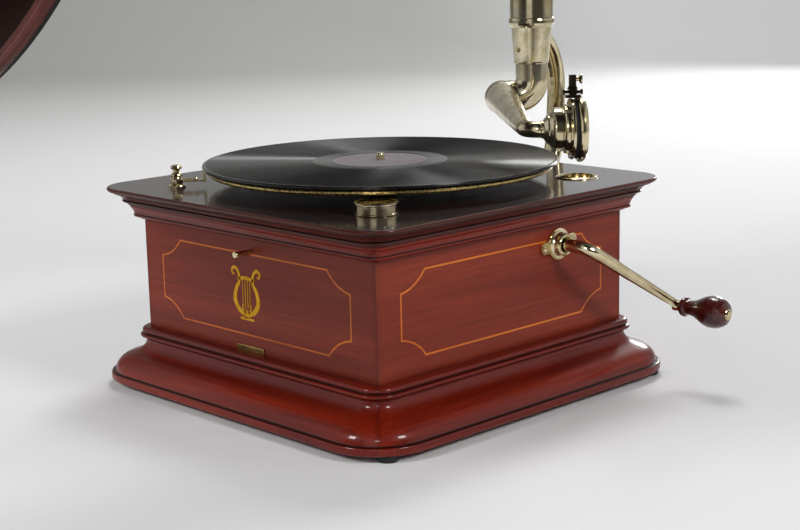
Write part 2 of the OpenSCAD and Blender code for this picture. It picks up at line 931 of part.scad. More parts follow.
module brake_post() {
    color("#c2ab78")
        rotate([0, 0, post_a])
            translate([post, 0, z_top]) {
                rotate_extrude()
                    polygon([[0, 0], [7.6, 0], [7.6, 1.5], [6.9, 1.9], [6, 2], [5.7, 2.6],
                        [2.5, 2.7], [2.5, brake_h - 3], [0, brake_h - 3]]);
                for (s = [-1, 1]) {
                    translate([0, s * 7.6, 0])
                        cylinder(r = 3.4, h = 1.7);
                    translate([0, s * 7.6, 1.7])
                        screw(1.8, 1, 3.8, 1.1);
                }
            }
}

module brake_lever() {
    color("#b9a67a")
        rotate([0, 0, post_a])
            translate([post, 0, z_top]) {
                rotate_extrude()
                    polygon([[2.5 + run_c, 3], [5.2, 3], [5.7, 3.6], [5.7, 6.6], [5, 7.3],
                        [3.9, 7.7], [3.6, 8.4], [4.6, 9.2], [5, 10.2], [4.6, 11.2],
                        [3.4, 12], [2.9, 12.8], [2.85, brake_h - 4.4], [3.6, brake_h - 3.9],
                        [4.7, brake_h - 3.1], [4.9, brake_h - 2.2], [4.5, brake_h - 1.2],
                        [3.4, brake_h - 0.4], [1.8, brake_h - 0.05], [0, brake_h],
                        [0, brake_h - 2.8], [2.5 + run_c, brake_h - 2.8]]);
                rotate([0, 0, 180]) {
                    difference() {
                        union() {
                            translate([0, -2.6, 4.2])
                                cube([brake_l - 1, 5.2, 2]);
                            translate([brake_l - 2.6, -4, 4.2])
                                cube([2.2, 8, 8.6]);
                            translate([0, -1.5, 6.1])
                                cube([13, 3, 1.4]);
                        }
                        translate([0, 0, 3])
                            cylinder(d = 5.4, h = 6);
                    }
                    translate([16, 0, 6.2])
                        screw(2, 1, 4.2, 1.6);
                }
            }
}

module needle_cup() {
    r = cup_d / 2;
    color("#b9a67a")
        translate([cup_x, cup_y, z_top])
            rotate_extrude()
                polygon([[0, 0], [r - 0.3, 0], [r, 0.6], [r, 1.3], [r - 0.9, 1.9],
                    [r - 0.9, cup_h - 2], [r - 2.2, cup_h - 2], [r - 2.2, 1.4], [0, 1.2]]);
}

module cup_lid() {
    r = cup_d / 2;
    h = cup_h;
    color("#b9a67a")
        translate([cup_x, cup_y, z_top])
            rotate_extrude()
                polygon([[0, h - 2.4], [r - 4, h - 1.9], [r - 2.2 - run_c, h - 3.6],
                    [r - 2.2 - run_c, h - 1.9], [r - 0.3, h - 1.9], [r, h - 1.3], [r, h - 0.6],
                    [r - 0.6, h], [r - 1.6, h - 0.1], [r - 2.6, h - 0.9], [0, h - 1.5]]);
}

module open_cup() {
    r = open_cup_d / 2;
    color("#b9a67a")
        translate([cup2_at, cup2_at, z_top])
            rotate_extrude()
                polygon([[0, -10.6], [r - 5, -10.6], [r - 2.6, -6], [r - 2.6, 0], [r, 0],
                    [r - 0.3, 0.9], [r - 1.6, 1.4], [r - 3.2, 1], [r - 3.8, 0],
                    [r - 3.8, -5.8], [r - 5.8, -9.4], [0, -9.4]]);
}

module platter() {
    r = platter_d / 2;
    color("#8a6c34")
        translate([0, 0, z_platter])
            difference() {
                union() {
                    rotate_extrude()
                        polygon([[0, platter_t - 1.8], [r - 5, platter_t - 1.8], [r - 4, 0.6],
                            [r - 2.8, 0.05], [r - 1.6, 0.15], [r - 0.7, 0.6], [r - 0.15, 1.4],
                            [r, 2.2], [r - 0.15, 3], [r - 0.6, platter_t - 0.2],
                            [r - 1.2, platter_t], [0, platter_t]]);
                    translate([0, 0, -6])
                        cylinder(d = 26, h = platter_t + 5);
                }
                translate([0, 0, -7])
                    cylinder(d = 8, h = 7);
                translate([0, 0, -1])
                    cylinder(d = spindle_d, h = 9);
            }
}

module felt() {
    color("#17110e")
        translate([0, 0, z_felt])
            difference() {
                cylinder(d = platter_d - 3, h = felt_t);
                translate([0, 0, -1])
                    cylinder(d = spindle_d + 1, h = felt_t + 2);
            }
}

module record() {
    r = record_d / 2;
    t = record_t;
    color("#151414")
        translate([0, 0, z_record])
            rotate_extrude()
                polygon([[spindle_d / 2 + 0.08, 0.3], [50, 0.3], [54, 0], [r - 0.9, 0],
                    [r, 0.9], [r, t - 0.9], [r - 0.9, t], [r - 4, t], [r - 6, t - 0.25],
                    [57, t - 0.25], [56, t - 0.5], [55, t - 0.25], [41, t - 0.25],
                    [40, t - 0.5], [spindle_d / 2 + 0.08, t - 0.5]]);
}

// Points of a bent bar on the far and near side of a curved line
function bez(p, t) = pow(1 - t, 3) * p[0] + 3 * pow(1 - t, 2) * t * p[1]
    + 3 * (1 - t) * t * t * p[2] + t * t * t * p[3];
function dbez(p, t) = 3 * pow(1 - t, 2) * (p[1] - p[0]) + 6 * (1 - t) * t * (p[2] - p[1])
    + 3 * t * t * (p[3] - p[2]);
function side(p, n, w, s) = [for (i = [0:n]) let (t = i / n, d = dbez(p, t),
    k = s * w / 2 / norm(d)) bez(p, t) + [-d[1] * k, d[0] * k]];

z_pad = z_band - 28;
bar_1 = [[pivot_y + 10, z_bead - 6], [pivot_y + 28, z_bead - 18],
    [pivot_y + 37, z_sock - 10], [pivot_y + 34, z_sock - 40]];
bar_2 = [[pivot_y + 34, z_sock - 40], [pivot_y + 31, z_sock - 70],
    [pivot_y + 42, z_pad + 20], [half + 4, z_pad + 2]];

module bar(w, t) {
    translate([t / 2, 0, 0])
        rotate([0, -90, 0])
            rotate([0, 0, 90])
                mirror([0, 1, 0])
                    linear_extrude(t)
                        polygon(concat(side(bar_1, 10, w, 1), side(bar_2, 14, w, 1),
                            [for (i = [14:-1:0]) side(bar_2, 14, w, -1)[i]],
                            [for (i = [10:-1:0]) side(bar_1, 10, w, -1)[i]]));
}

module bracket() {
    rb = socket_d / 2;
    color("#b3a27c")
        difference() {
            union() {
                translate([0, pivot_y, z_sock])
                    rotate_extrude()
                        polygon([[0, 0], [rb - 5.2, 0], [rb - 4.7, 0.8], [rb - 4.8, 2],
                            [rb - 2.6, 33], [rb - 1.6, 34], [rb - 0.4, 35], [rb, 37],
                            [rb, 39.5], [rb - 0.5, 41], [rb - 1.4, 41.8], [0, 41.8]]);
                bar(9, 12);
                bar(11.5, 4);
                translate([-20, half, z_pad - 20])
                    cube([40, 5, 40]);
            }
            translate([0, pivot_y, z_sock - 1])
                cylinder(d = tube_d - 3 + 2 * run_c, h = 34);
            translate([0, pivot_y, z_sock + 20])
                cylinder(d = tube_d + 2 * run_c, h = 24);
            translate([0, pivot_y, z_sock + 12.8])
                rotate([90, 0, -3])
                    cylinder(d = 4.6, h = 30);
            for (x = [-12, 12])
                for (z = [-12, 12])
                    translate([x, half - 1, z_pad + z])
                        rotate([-90, 0, 0])
                            cylinder(d = 4.2, h = 8);
        }
}

module bracket_screws() {
    color("#a9acae")
        for (x = [-12, 12])
            for (z = [-12, 12])
                translate([x, half + 5, z_pad + z])
                    rotate([-90, 0, 0])
                        rotate([0, 0, 30 + x * z])
                            screw(3.9, wall + 3, 8, 3);
}

// Everything on the arm: x along the arm, y towards the sound box
module arm_frame() {
    translate([0, pivot_y, 0])
        rotate([0, 0, arm_yaw - 90])
            children();
}

module pivot_elbow() {
    ro = tube_d / 2;
    rb = ro - 3.1;
    rc = 16;
    color("#b8a982")
        arm_frame()
            difference() {
                union() {
                    translate([0, 0, z_arm + rc - 1])
                        cylinder(r = ro - 0.12, h = z_sock - 0.4 - z_arm - rc + 1);
                    translate([0, 0, z_sock - 2])
                        cylinder(r = ro - 1.5, h = 24.4);
                    translate([0, 0, z_sock + 20.1])
                        cylinder(r = ro - 0.2, h = 2.3);
                    translate([0, -rc, z_arm + rc])
                        rotate([0, 90, 0])
                            rotate_extrude(angle = 90)
                                translate([rc, 0])
                                    circle(r = ro);
                    translate([0, -rc + 0.4, z_arm])
                        rotate([90, 0, 0])
                            cylinder(r = ro + 0.5, h = 2.8);
                    translate([0, -rc - 1, z_arm])
                        rotate([90, 0, 0])
                            cylinder(r = ro - 2, h = 7.4);
                }
                translate([0, 0, z_arm + rc - 1])
                    cylinder(r = rb - 0.1, h = 60);
                translate([0, -rc, z_arm + rc])
                    rotate([0, 90, 0])
                        rotate_extrude(angle = 90)
                            translate([rc, 0])
                                circle(r = rb);
                translate([0, -rc + 1, z_arm])
                    rotate([90, 0, 0])
                        cylinder(r = rb - 0.1, h = 12);
                translate([-2, -9, z_arm - tube_d / 2 - 4])
                    cylinder(d = 5, h = 5.4);
                translate([-2, -9, z_arm - tube_d / 2])
                    cylinder(d = 2.4, h = 2.4);
            }
}

module swivel_screw() {
    color("#a9acae")
        arm_frame()
            translate([-2, -9, z_arm - tube_d / 2 + 1.4])
                rotate([0, 180, 0])
                    screw(2.4, 1, 5, 2.2);
}

module tone_arm() {
    rn = neck_d / 2;
    bn = 11;
    color("#b4a57c")
        arm_frame()
            translate([0, -arm_off, z_arm])
                difference() {
                    union() {
                        sphere(r = bulb_r);
                        rotate([-90, 0, 0])
                            cylinder(r = bulb_r - 0.4, h = 9.2);
                        translate([0, 7.6, 0])
                            rotate([-90, 0, 0])
                                cylinder(r = bulb_r + 0.3, h = 1.6);
                        rotate([0, 90 + arm_dip, 0]) {
                            cylinder(r1 = bulb_r - 0.7, r2 = rn + 0.1, h = arm_l - bn);
                            translate([0, bn, arm_l - bn])
                                rotate([0, 90, 0])
                                    rotate([0, 0, 180])
                                        rotate_extrude(angle = 90)
                                            translate([bn, 0])
                                                circle(r = rn);
                            translate([0, bn, arm_l])
                                rotate([-90, 0, 0])
                                    cylinder(r = rn, h = 0.8);
                            translate([0, bn + 0.4, arm_l])
                                rotate([-90, 0, 0])
                                    cylinder(r = rn - 1.6, h = 9);
                        }
                    }
                    translate([0, 1, 0])
                        rotate([-90, 0, 0])
                            cylinder(r = tube_d / 2 - 2 + run_c, h = 12);
                    translate([0, 9.2, 0])
                        rotate([-90, 0, 0])
                            cylinder(r = tube_d / 2 + 1.2, h = 20);
                    rotate([0, 90 + arm_dip, 0]) {
                        translate([0, 0, 4])
                            cylinder(r1 = bulb_r - 4, r2 = rn - 2.6, h = arm_l - bn - 4);
                        translate([0, bn, arm_l - bn])
                            rotate([0, 90, 0])
                                rotate([0, 0, 180])
                                    rotate_extrude(angle = 90)
                                        translate([bn, 0])
                                            circle(r = rn - 2.6);
                        translate([0, bn, arm_l])
                            rotate([-90, 0, 0])
                                cylinder(r = rn - 2.6, h = 20);
                    }
                }
}

// Sound box frame: y along its axis from the neck bend, z up to the needle chuck
module box_frame() {
    arm_frame()
        translate([neck_x, -arm_off, neck_z])
            children();
}

module box_turn(pts) {
    rotate([-90, 0, 0])
        rotate_extrude()
            polygon(pts);
}

module soundbox_back() {
    rn = neck_d / 2;
    rb = box_d / 2;
    bore = rn - 1.6 + run_c;
    color("#b8a982")
        box_frame()
            box_turn([[bore, 12.1], [rn - 0.2, 12.1], [rn + 0.5, 12.6], [rn + 0.6, 13.8],
                [rn + 0.3, 14.2], [rn + 1.4, 14.8], [rn + 3, 16.2], [rn + 4.6, 17.4],
                [rn + 5.2, 17.6], [rn + 5.4, 18], [rn + 5.4, 18.6], [rn + 6.4, 19.6],
                [rb - 11.4, 21.2], [rb - 9.8, 21.8], [rb - 9.3, 22.4], [rb - 9.1, 23.4],
                [rb - 9.1, 28.6], [rb - 9.5, 29.2], [rb - 10, 29.5], [rb - 10, 30.3],
                [rb - 8, 30.7], [rb - 7.2, 31.4], [rb - 7, 32.6], [rb - 7, 34.2],
                [rb - 7.8, 34.8], [rb - 7.8, 35.8], [rb - 2.6, 35.8], [rb - 2.2, 36.2],
                [rb - 2.2, 37.6], [rb - 2.6, 38.4], [diaphragm_d / 2 - 2, 38.4],
                [diaphragm_d / 2 - 3, 37.4], [8, 37.4], [4.4, 30], [4.4, 22], [bore, 22]]);
}

module gaskets() {
    rd = diaphragm_d / 2;
    color("#131211")
        box_frame() {
            box_turn([[rd - 2, 38.4], [box_d / 2 - 3, 38.4], [box_d / 2 - 3, 41.6],
                [rd + 0.1, 41.6], [rd + 0.1, 39.8], [rd - 2, 39.8]]);
            box_turn([[rd - 2, 40.2], [rd + 0.1, 40.2], [rd + 0.1, 41.6], [rd - 2, 41.6]]);
        }
}

module diaphragm() {
    color("#cfc8b0")
        box_frame()
            box_turn([[0, 39.8], [diaphragm_d / 2, 39.8], [diaphragm_d / 2, 40.2], [0, 40.2]]);
}

module front_ring() {
    rb = box_d / 2;
    rd = diaphragm_d / 2;
    color("#c2ab78")
        box_frame()
            difference() {
                box_turn([[rd - 2, 41.6], [rb - 1, 41.6], [rb - 0.3, 42.2], [rb, 43.2],
                    [rb, 44.4], [rb - 0.5, 45.8], [rb - 1.6, 47.2], [rb - 3, 48.2],
                    [rb - 4.6, 48.7], [rb - 5.6, 48.6], [rb - 6.2, 48], [rd - 2.6, 44],
                    [rd - 2.6, 42.4]]);
                translate([-3.6, 40, rd - 6])
                    cube([7.2, 12, 12]);
                translate([-4.5, 40, rb - 1.6])
                    cube([9, 4.6, 4]);
            }
}

module ring_screws() {
    color("#a9acae")
        box_frame()
            for (k = [0:2])
                rotate([0, 120 * k + 180, 0])
                    translate([0, 35.8, box_d / 2 - 4.6])
                        rotate([90, 0, 0])
                            screw(1.6, 0, 3, 1.1);
}

module stylus_bar() {
    rb = box_d / 2;
    color("#8a7a55")
        box_frame() {
            translate([-4.5, 32.6, rb - 1.6])
                cube([9, 12, 2.4]);
            translate([0, 38.4, rb + 3.6])
                rotate([90, 0, 90])
                    translate([0, 0, -4.4])
                        cylinder(d = 7, h = 8.8);
            for (s = [-1, 1])
                translate([0, 38.4 + s * 2, rb + 3])
                    rotate([-90 * s, 0, 0]) {
                        cylinder(d = 2.6, h = 5);
                        translate([0, 0, 4.6])
                            cylinder(d = 4.4, h = 1.6);
                    }
            translate([0, 38.4, rb + 5.6])
                difference() {
                    union() {
                        cylinder(d = 6.2, h = 11.2);
                        cylinder(d1 = 9, d2 = 6, h = 2.4);
                    }
                    translate([0, 0, 3])
                        cylinder(d = 1.7, h = 12);
                    translate([0, 0, 7.8])
                        rotate([-90, 0, 0])
                            cylinder(d = 3.4 + 2 * run_c, h = 6);
                }
            translate([-1, 43, 1])
                cube([2, 1.6, rb - 1]);
            translate([0, 40.2, 0])
                rotate([-90, 0, 0])
                    cylinder(d = 4, h = 4.4);
        }
}

module needle_screw() {
    rb = box_d / 2;
    color("#a9935c")
        box_frame()
            translate([0, 38.4, rb + 13.4])
                rotate([-90, 0, 0]) {
                    cylinder(d = 3.4, h = 5.4);
                    translate([0, 0, 4.9])
                        cylinder(d1 = 3.8, d2 = 8, h = 1.5);
                    translate([0, 0, 6.4])
                        cylinder(d = 8, h = 1.2);
                }
}

module horn_elbow() {
    ro = tube_d / 2 + 4.85;
    rs = tube_d / 2 - 1.6;
    rt = throat_d / 2 + 0.9;
    c = z_elbow + 29;
    color("#b8a982")
        difference() {
            union() {
                translate([0, pivot_y, z_bead - 8])
                    cylinder(d = tube_d, h = 20);
                translate([0, pivot_y, z_sock + 42])
                    cylinder(r = ro - 0.12, h = c - z_sock - 41);
                translate([0, pivot_y - bend_r, c])
                    rotate([90, 0, 90])
                        rotate_extrude(angle = 90 - horn_tilt)
                            translate([bend_r, 0])
                                circle(r = ro);
                horn_frame()
                    translate([0, 0, -1])
                        rotate_extrude()
                            polygon([[0, 0], [rt + 3, 0], [rt + 3.6, 1], [rt + 3.6, 5],
                                [rt + 2.8, 6.5], [rt + 2.4, 17], [0, 17]]);
            }
            translate([0, pivot_y, z_bead - 9])
                cylinder(r = rs - 0.1, h = c - z_bead + 10);
            translate([0, pivot_y - bend_r, c])
                rotate([90, 0, 90])
                    rotate_extrude(angle = 90 - horn_tilt)
                        translate([bend_r, 0])
                            circle(r = rs);
            horn_frame() {
                translate([0, 0, -1])
                    cylinder(r = rs - 0.1, h = 5);
                translate([0, 0, 2])
                    cylinder(r = rt + 0.1, h = 30);
            }
        }
}

// Bell frame: z along the axis from the throat to the mouth
module horn_frame() {
    translate([0, throat_y, throat_z])
        rotate([90 - horn_tilt, 0, 0])
            children();
}

horn_m = horn_d / 2 - rim_d * 0.43;
function horn_r(t) = throat_d / 2 + (horn_m - throat_d / 2)
    * (exp(horn_e * t) - 1) / (exp(horn_e) - 1);
function horn_s(t) = horn_e * (horn_m - throat_d / 2) * exp(horn_e * t)
    / (exp(horn_e) - 1) / horn_l;
function horn_in(t) = let (k = horn_t / sqrt(1 + horn_s(t) * horn_s(t)))
    [horn_r(t) - k, t * horn_l + horn_s(t) * k];

module horn_bell() {
    n = 22;
    color("#4a1c12")
        horn_frame()
            difference() {
                rotate_extrude($fn = 96)
                    polygon(concat(
                        [for (i = [0:n]) let (t = pow(i / n, 0.85)) [horn_r(t), t * horn_l]],
                        [for (i = [n:-1:0]) horn_in(pow(i / n, 0.85))]));
                translate([0, 0, -50])
                    cylinder(r = 60, h = 52.2);
            }
}

// Section of the rim: an outer bead, a hollow and a thin inner lip on the end of the wall
module horn_rim() {
    k = rim_d / 14;
    q = horn_in(1);
    color("#5a1d12")
        horn_frame()
            rotate_extrude($fn = 96)
                translate([q[0], q[1]])
                    rotate([0, 0, -atan(horn_s(1))])
                        polygon(concat([[-1.4, 0.03], [horn_t, 0.03], [horn_t + 0.5 * k, 1.4 * k]],
                            [for (i = [0:8]) let (t = -32 + i * 25)
                                [horn_t * 0.38 + 3.5 * k * cos(t), (5.3 + 3.5 * sin(t)) * k]],
                            [[-2.1 * k, 4.2 * k], [-2.3 * k, 3.1 * k], [-2.8 * k, 2.3 * k],
                                [-3.5 * k, 2.1 * k], [-4.1 * k, 1.5 * k], [-4.1 * k, 0.8 * k],
                                [-3.4 * k, 0.3 * k]]));
}

feet();
plinth();
bottom_board();
case_front();
case_back();
case_left();
case_right();
inlay();
name_plate();
case_band();
deck();
motor_bolts();
motor_bushes();
motor_top_plate();
motor_bottom_plate();
pillars();
winding_bearing();
winding_pinion();
winding_wheel();
spring_barrel();
barrel_cover();
mainspring();
intermediate_wheel();
spindle();
spindle_wheel();
governor_shaft();
governor_disc();
governor_springs();
governor_weights();
regulator_rod();
crank();
knob();
knob_washer();
escutcheon();
escutcheon_screws();
brake_post();
brake_lever();
needle_cup();
cup_lid();
open_cup();
platter();
felt();
record();
bracket();
bracket_screws();
pivot_elbow();
swivel_screw();
tone_arm();
soundbox_back();
gaskets();
diaphragm();
front_ring();
ring_screws();
stylus_bar();
needle_screw();
horn_elbow();
horn_bell();
horn_rim();
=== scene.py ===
# %% [markdown]
# # Horn gramophone
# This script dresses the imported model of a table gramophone: a square mahogany case with a
# moulded plinth, a felted turntable under a shellac record, a nickel tone arm and a flared
# wooden horn. The solids come first, because every finish and every finer piece is set
# against them.

# %% Load the solids
import math
import bmesh
import bpy
from mathutils import Matrix, Vector


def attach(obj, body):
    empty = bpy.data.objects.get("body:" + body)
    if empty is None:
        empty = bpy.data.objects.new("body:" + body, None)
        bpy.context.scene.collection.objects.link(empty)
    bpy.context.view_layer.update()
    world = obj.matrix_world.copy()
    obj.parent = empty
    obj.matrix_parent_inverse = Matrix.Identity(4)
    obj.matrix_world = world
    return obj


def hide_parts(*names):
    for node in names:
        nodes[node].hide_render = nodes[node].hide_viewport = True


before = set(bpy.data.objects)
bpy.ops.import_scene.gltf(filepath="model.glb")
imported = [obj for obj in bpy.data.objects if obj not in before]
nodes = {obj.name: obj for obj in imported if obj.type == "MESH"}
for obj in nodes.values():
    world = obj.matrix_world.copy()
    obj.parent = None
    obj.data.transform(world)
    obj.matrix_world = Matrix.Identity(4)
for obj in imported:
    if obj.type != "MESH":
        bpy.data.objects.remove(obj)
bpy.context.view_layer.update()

# %% [markdown]
# ## Driving sizes
# A cabinet maker works from a few sizes and marks the rest off from them. The same is done
# here: these are the sizes that the solids were drawn from, in millimetres, and the tables of
# the mouldings below are shares of them or distances from them. Heights are counted from the
# floor, with the spindle at the middle of the case.

# %% Driving sizes, in millimetres
CASE_HALF = 143.0
FOOT_HIGH = 5.7
PLINTH_HIGH = 43.6
PLINTH_HALF = 182.0
BODY_HIGH = 92.7
BAND_HIGH = 14.0
DECK_THICK = 15.5
DECK_HALF = 174.5
RECORD_RADIUS = 150.0
RECORD_TOP = 190.0
TURNTABLE_TOP = 185.8
PIVOT_Y = 194.0
HORN_LONG = 532.5
HORN_WALL = 4.0
plinth_top = FOOT_HIGH + PLINTH_HIGH
body_top = plinth_top + BODY_HIGH
band_top = body_top + BAND_HIGH
deck_top = band_top + DECK_THICK
print("case", 2 * CASE_HALF, "wide, deck at", deck_top, "above the floor")

# %% [markdown]
# ## Camera
# The camera was solved from the photograph: straight edges of the case and the round record
# fix its place, its turn and its focal length. It is set with a matrix made from its own
# right, up and back directions, which is less open to mistakes than three angles.

# %% Camera
def put_camera(place, azimuth, pitch, roll, lens):
    """A camera at a place in metres. Azimuth 0 looks along +Y, and pitch looks down."""
    az, down, tilt = (math.radians(angle) for angle in (azimuth, pitch, roll))
    level = math.cos(down)
    ahead = Vector((-math.sin(az) * level, math.cos(az) * level, -math.sin(down)))
    right = Vector((math.cos(az), math.sin(az), 0))
    up = right.cross(ahead)
    right, up = (right * math.cos(tilt) + up * math.sin(tilt),
                 up * math.cos(tilt) - right * math.sin(tilt))
    camera = bpy.data.objects.new("camera", bpy.data.cameras.new("camera"))
    camera.data.lens = lens
    camera.data.sensor_width = 36
    camera.data.clip_start = 0.05
    camera.data.clip_end = 20
    turn = Matrix((right, up, -ahead)).transposed().to_4x4()
    camera.matrix_world = Matrix.Translation(place) @ turn
    bpy.context.scene.collection.objects.link(camera)
    bpy.context.scene.camera = camera
    return camera


camera = put_camera((0.97084, -0.91501, 0.3765), 46.07, 11.789, -1.262, 71.56)
print("camera at", tuple(round(v, 3) for v in camera.location))

# %% [markdown]
# ## Colours and nodes
# Colours are picked as sRGB hex values, as a paint chart gives them, and Blender's sockets
# want linear numbers, so one function turns them. Two more add any node with its settings
# and plug its sockets, which keeps every material and every tree below short enough to
# read. The kinds and settings that come again and again have a name.

# %% Colour and node helpers
def paint(code):
    """A hex colour as linear numbers."""
    def linear(v):
        return v / 12.92 if v <= 0.04045 else ((v + 0.055) / 1.055) ** 2.4
    return tuple(linear(int(code[i:i + 2], 16) / 255) for i in (1, 3, 5)) + (1.0,)


def plug(tree, node, *first, **sockets):
    """Gives a node's sockets a value, a socket to link, or a node, whose first output is
    meant. The first ones go in order, and i6 names a socket by its number."""
    for name, value in [*enumerate(first), *sockets.items()]:
        if not isinstance(name, int):
            name = int(name[1:]) if name[1:].isdigit() else name.replace("_", " ")
        if isinstance(value, bpy.types.Node):
            value = value.outputs[0]
        if isinstance(value, bpy.types.NodeSocket):
            tree.links.new(value, node.inputs[name])
        else:
            node.inputs[name].default_value = value


def add(tree, kind, settings=None, *first, **sockets):
    """A node with its settings and its sockets plugged. The setting stops fills a colour
    ramp from (place, hex colour or grey) pairs."""
    node = tree.nodes.new(kind)
    settings = dict(settings or {})
    stops = settings.pop("stops", ())
    for name, value in settings.items():
        setattr(node, name, value)
    for k, (place, tone) in enumerate(stops):
        elements = node.color_ramp.elements
        element = elements[k] if k < len(elements) else elements.new(place)
        element.position = place
        element.color = paint(tone) if isinstance(tone, str) else (tone,) * 3 + (1,)
    plug(tree, node, *first, **sockets)
    return node


def new_finish(name, **shader):
    """A material whose plain numbers sit on the shader's own sockets."""
    m = bpy.data.materials.new(name)
    m.use_nodes = True
    bsdf = m.node_tree.nodes["Principled BSDF"]
    plug(m.node_tree, bsdf, **shader)
    return m, m.node_tree, bsdf


RAMP = "ShaderNodeValToRGB"
NOISE = "ShaderNodeTexNoise"
MATH = "ShaderNodeMath"
PLUS = (MATH, {"operation": "ADD"})
MINUS = (MATH, {"operation": "SUBTRACT"})
TIMES = (MATH, {"operation": "MULTIPLY"})
UNSIGNED = (MATH, {"operation": "ABSOLUTE"})
TINT = ("ShaderNodeMix", {"data_type": "RGBA", "blend_type": "MULTIPLY"})
SOFT_STEP = ("ShaderNodeMapRange", {"interpolation_type": "SMOOTHSTEP"})
IN_MM = 1000.0
print("body board colour in linear numbers:", [round(v, 3) for v in paint("#5e332c")])

# %% [markdown]
# ## Mahogany
# The case is solid and veneered mahogany under French polish. Cut along the trunk, the wood
# shows three things at once: broad bands a finger wide where the growth changes, fine fibres
# under a millimetre, and short dark pores. Each is noise that is stretched along the grain.
# Round the case the grain follows each side and meets at a mitre, so the pattern's first axis
# is swapped where a point lies nearer to the left or right side, and the joint itself is a
# hair line with a soft painted shade beside it. The polish is a clear coat with its own gloss,
# so the wood keeps its depth below.

# %% Grain directions
GRAIN_TURN = 0.11


def grain_place(tree, along):
    """(place with the grain on its first axis, distance from a mitre in mm or None).
    along is 0, 1 or 2 for an axis, "run" round the case, or the name of a map, whose second
    axis is GRAIN_TURN metres for each radian round the horn."""
    if along not in (0, 1, 2, "run"):
        return add(tree, "ShaderNodeUVMap", {"uv_map": along}), None
    place = add(tree, "ShaderNodeTexCoord").outputs["Object"]
    axes = add(tree, "ShaderNodeSeparateXYZ", Vector=place).outputs
    order = {0: "XYZ", 1: "YXZ", 2: "ZXY", "run": "XYZ"}[along]
    turned = add(tree, "ShaderNodeCombineXYZ",
                 X=axes[order[0]], Y=axes[order[1]], Z=axes[order[2]])
    if along != "run":
        return turned, None
    x, y = (add(tree, *UNSIGNED, axes[k]) for k in "XY")
    crossed = add(tree, "ShaderNodeCombineXYZ", X=axes["Y"], Y=axes["X"], Z=axes["Z"])
    on_side = add(tree, MATH, {"operation": "GREATER_THAN"}, x, y)
    turned = add(tree, "ShaderNodeMix", {"data_type": "VECTOR"}, on_side, i4=turned,
                 i5=crossed).outputs[1]
    apart = add(tree, *MINUS, x, y)
    apart = add(tree, *UNSIGNED, apart)
    return turned, add(tree, *TIMES, apart, IN_MM)


print("the horn's grain map holds", round(math.tau * GRAIN_TURN, 3), "m round the bell")

# %% The wood under its polish
def mahogany(name, dark, mid, light, along, gloss=0.06, coat=0.7, satin=0.4, pores=1.0,
             staves=0, shaded_quirks=()):
    """gloss and coat are the polish, satin the bare wood. staves is the number of glue joints
    round a horn, and the last argument gives the heights in mm of a moulding's creases, each
    darkened by a thin line of painted shade."""
    m, tree, bsdf = new_finish(name, Roughness=satin, Coat_Weight=coat, Coat_Roughness=gloss,
                               Coat_IOR=1.5, Specular_IOR_Level=0.15)
    place, mitre = grain_place(tree, along)

    def stretched(length_mm, width_mm, detail, twist=0.0):
        size = (1000 / length_mm, 1000 / width_mm, 1000 / width_mm)
        at = add(tree, "ShaderNodeMapping", Vector=place, Scale=size)
        return add(tree, NOISE, Vector=at, Scale=1.0, Detail=detail,
                   Roughness=0.6, Distortion=twist).outputs["Fac"]

    bands = stretched(420, 26, 3, 0.6)
    # fibres are about 0.2 mm; they are drawn near 1 mm so that the render holds them
    fibres = stretched(70, 1.1, 4)
    specks = stretched(7, 0.6, 1)
    toned = add(tree, RAMP, {"stops": [(0.3, dark), (0.5, mid), (0.72, light)]}, Fac=bands)
    fibre_tone = add(tree, RAMP, {"stops": [(0.3, 0.66), (0.62, 1.0)]}, Fac=fibres)
    pore_tone = add(tree, RAMP, {"stops": [(0.24, 1 - 0.55 * pores), (0.36, 1.0)]}, Fac=specks)
    tones = [fibre_tone, pore_tone]
    if mitre is not None:
        # the ramp spans 10 mm, so the joint is a line under half a millimetre; the fade out to 6
        # mm is painted shade
        near = add(tree, *TIMES, mitre, 0.1)
        tones.append(add(tree, RAMP, {
            "stops": [(0.01, 0.25), (0.04, 0.8), (0.6, 1.0)]}, Fac=near))
    for height in shaded_quirks:
        # a thin dark line of painted shade along each crease of the moulding
        up = add(tree, "ShaderNodeSeparateXYZ", Vector=place).outputs["Z"]
        up = add(tree, *TIMES, up, IN_MM)
        off = add(tree, *MINUS, up, height)
        off = add(tree, *UNSIGNED, off)
        tones.append(add(tree, RAMP, {"stops": [(0.3, 0.12), (0.75, 1.0)]}, Fac=off))
    if staves:
        # the joints between the staves, thin dark glue lines along the bell
        across = add(tree, "ShaderNodeSeparateXYZ", Vector=place).outputs["Y"]
        part = add(tree, *TIMES, across, staves / (math.tau * GRAIN_TURN))
        part = add(tree, MATH, {"operation": "FRACT"}, part)
        off = add(tree, *MINUS, part, 0.5)
        off = add(tree, *UNSIGNED, off)
        tones.append(add(tree, RAMP, {"stops": [(0.488, 1.0), (0.496, 0.3)]}, Fac=off))
    for tone in tones:
        toned = add(tree, *TINT, 1.0, i6=toned, i7=tone).outputs[2]
    bump = add(tree, "ShaderNodeBump", Strength=0.12, Distance=0.0002, Height=pore_tone)
    # the polish swims a little over some 45 mm, as hand rubbed shellac does
    wave = add(tree, NOISE, Vector=place, Scale=1000 / 45.455, Detail=2.0)
    ripple = add(tree, "ShaderNodeBump", Strength=0.06, Distance=0.001,
                 Height=wave.outputs["Fac"])
    plug(tree, bsdf, Base_Color=toned, Normal=bump, Coat_Normal=ripple)
    return m


# veneer dulled by age: a thin soft coat, so the eye gets its colour before its gloss
body_wood = mahogany("mahogany veneer", "#742614", "#842e19", "#923820", "run",
                     gloss=0.2, coat=0.2, satin=0.5, pores=0.55)
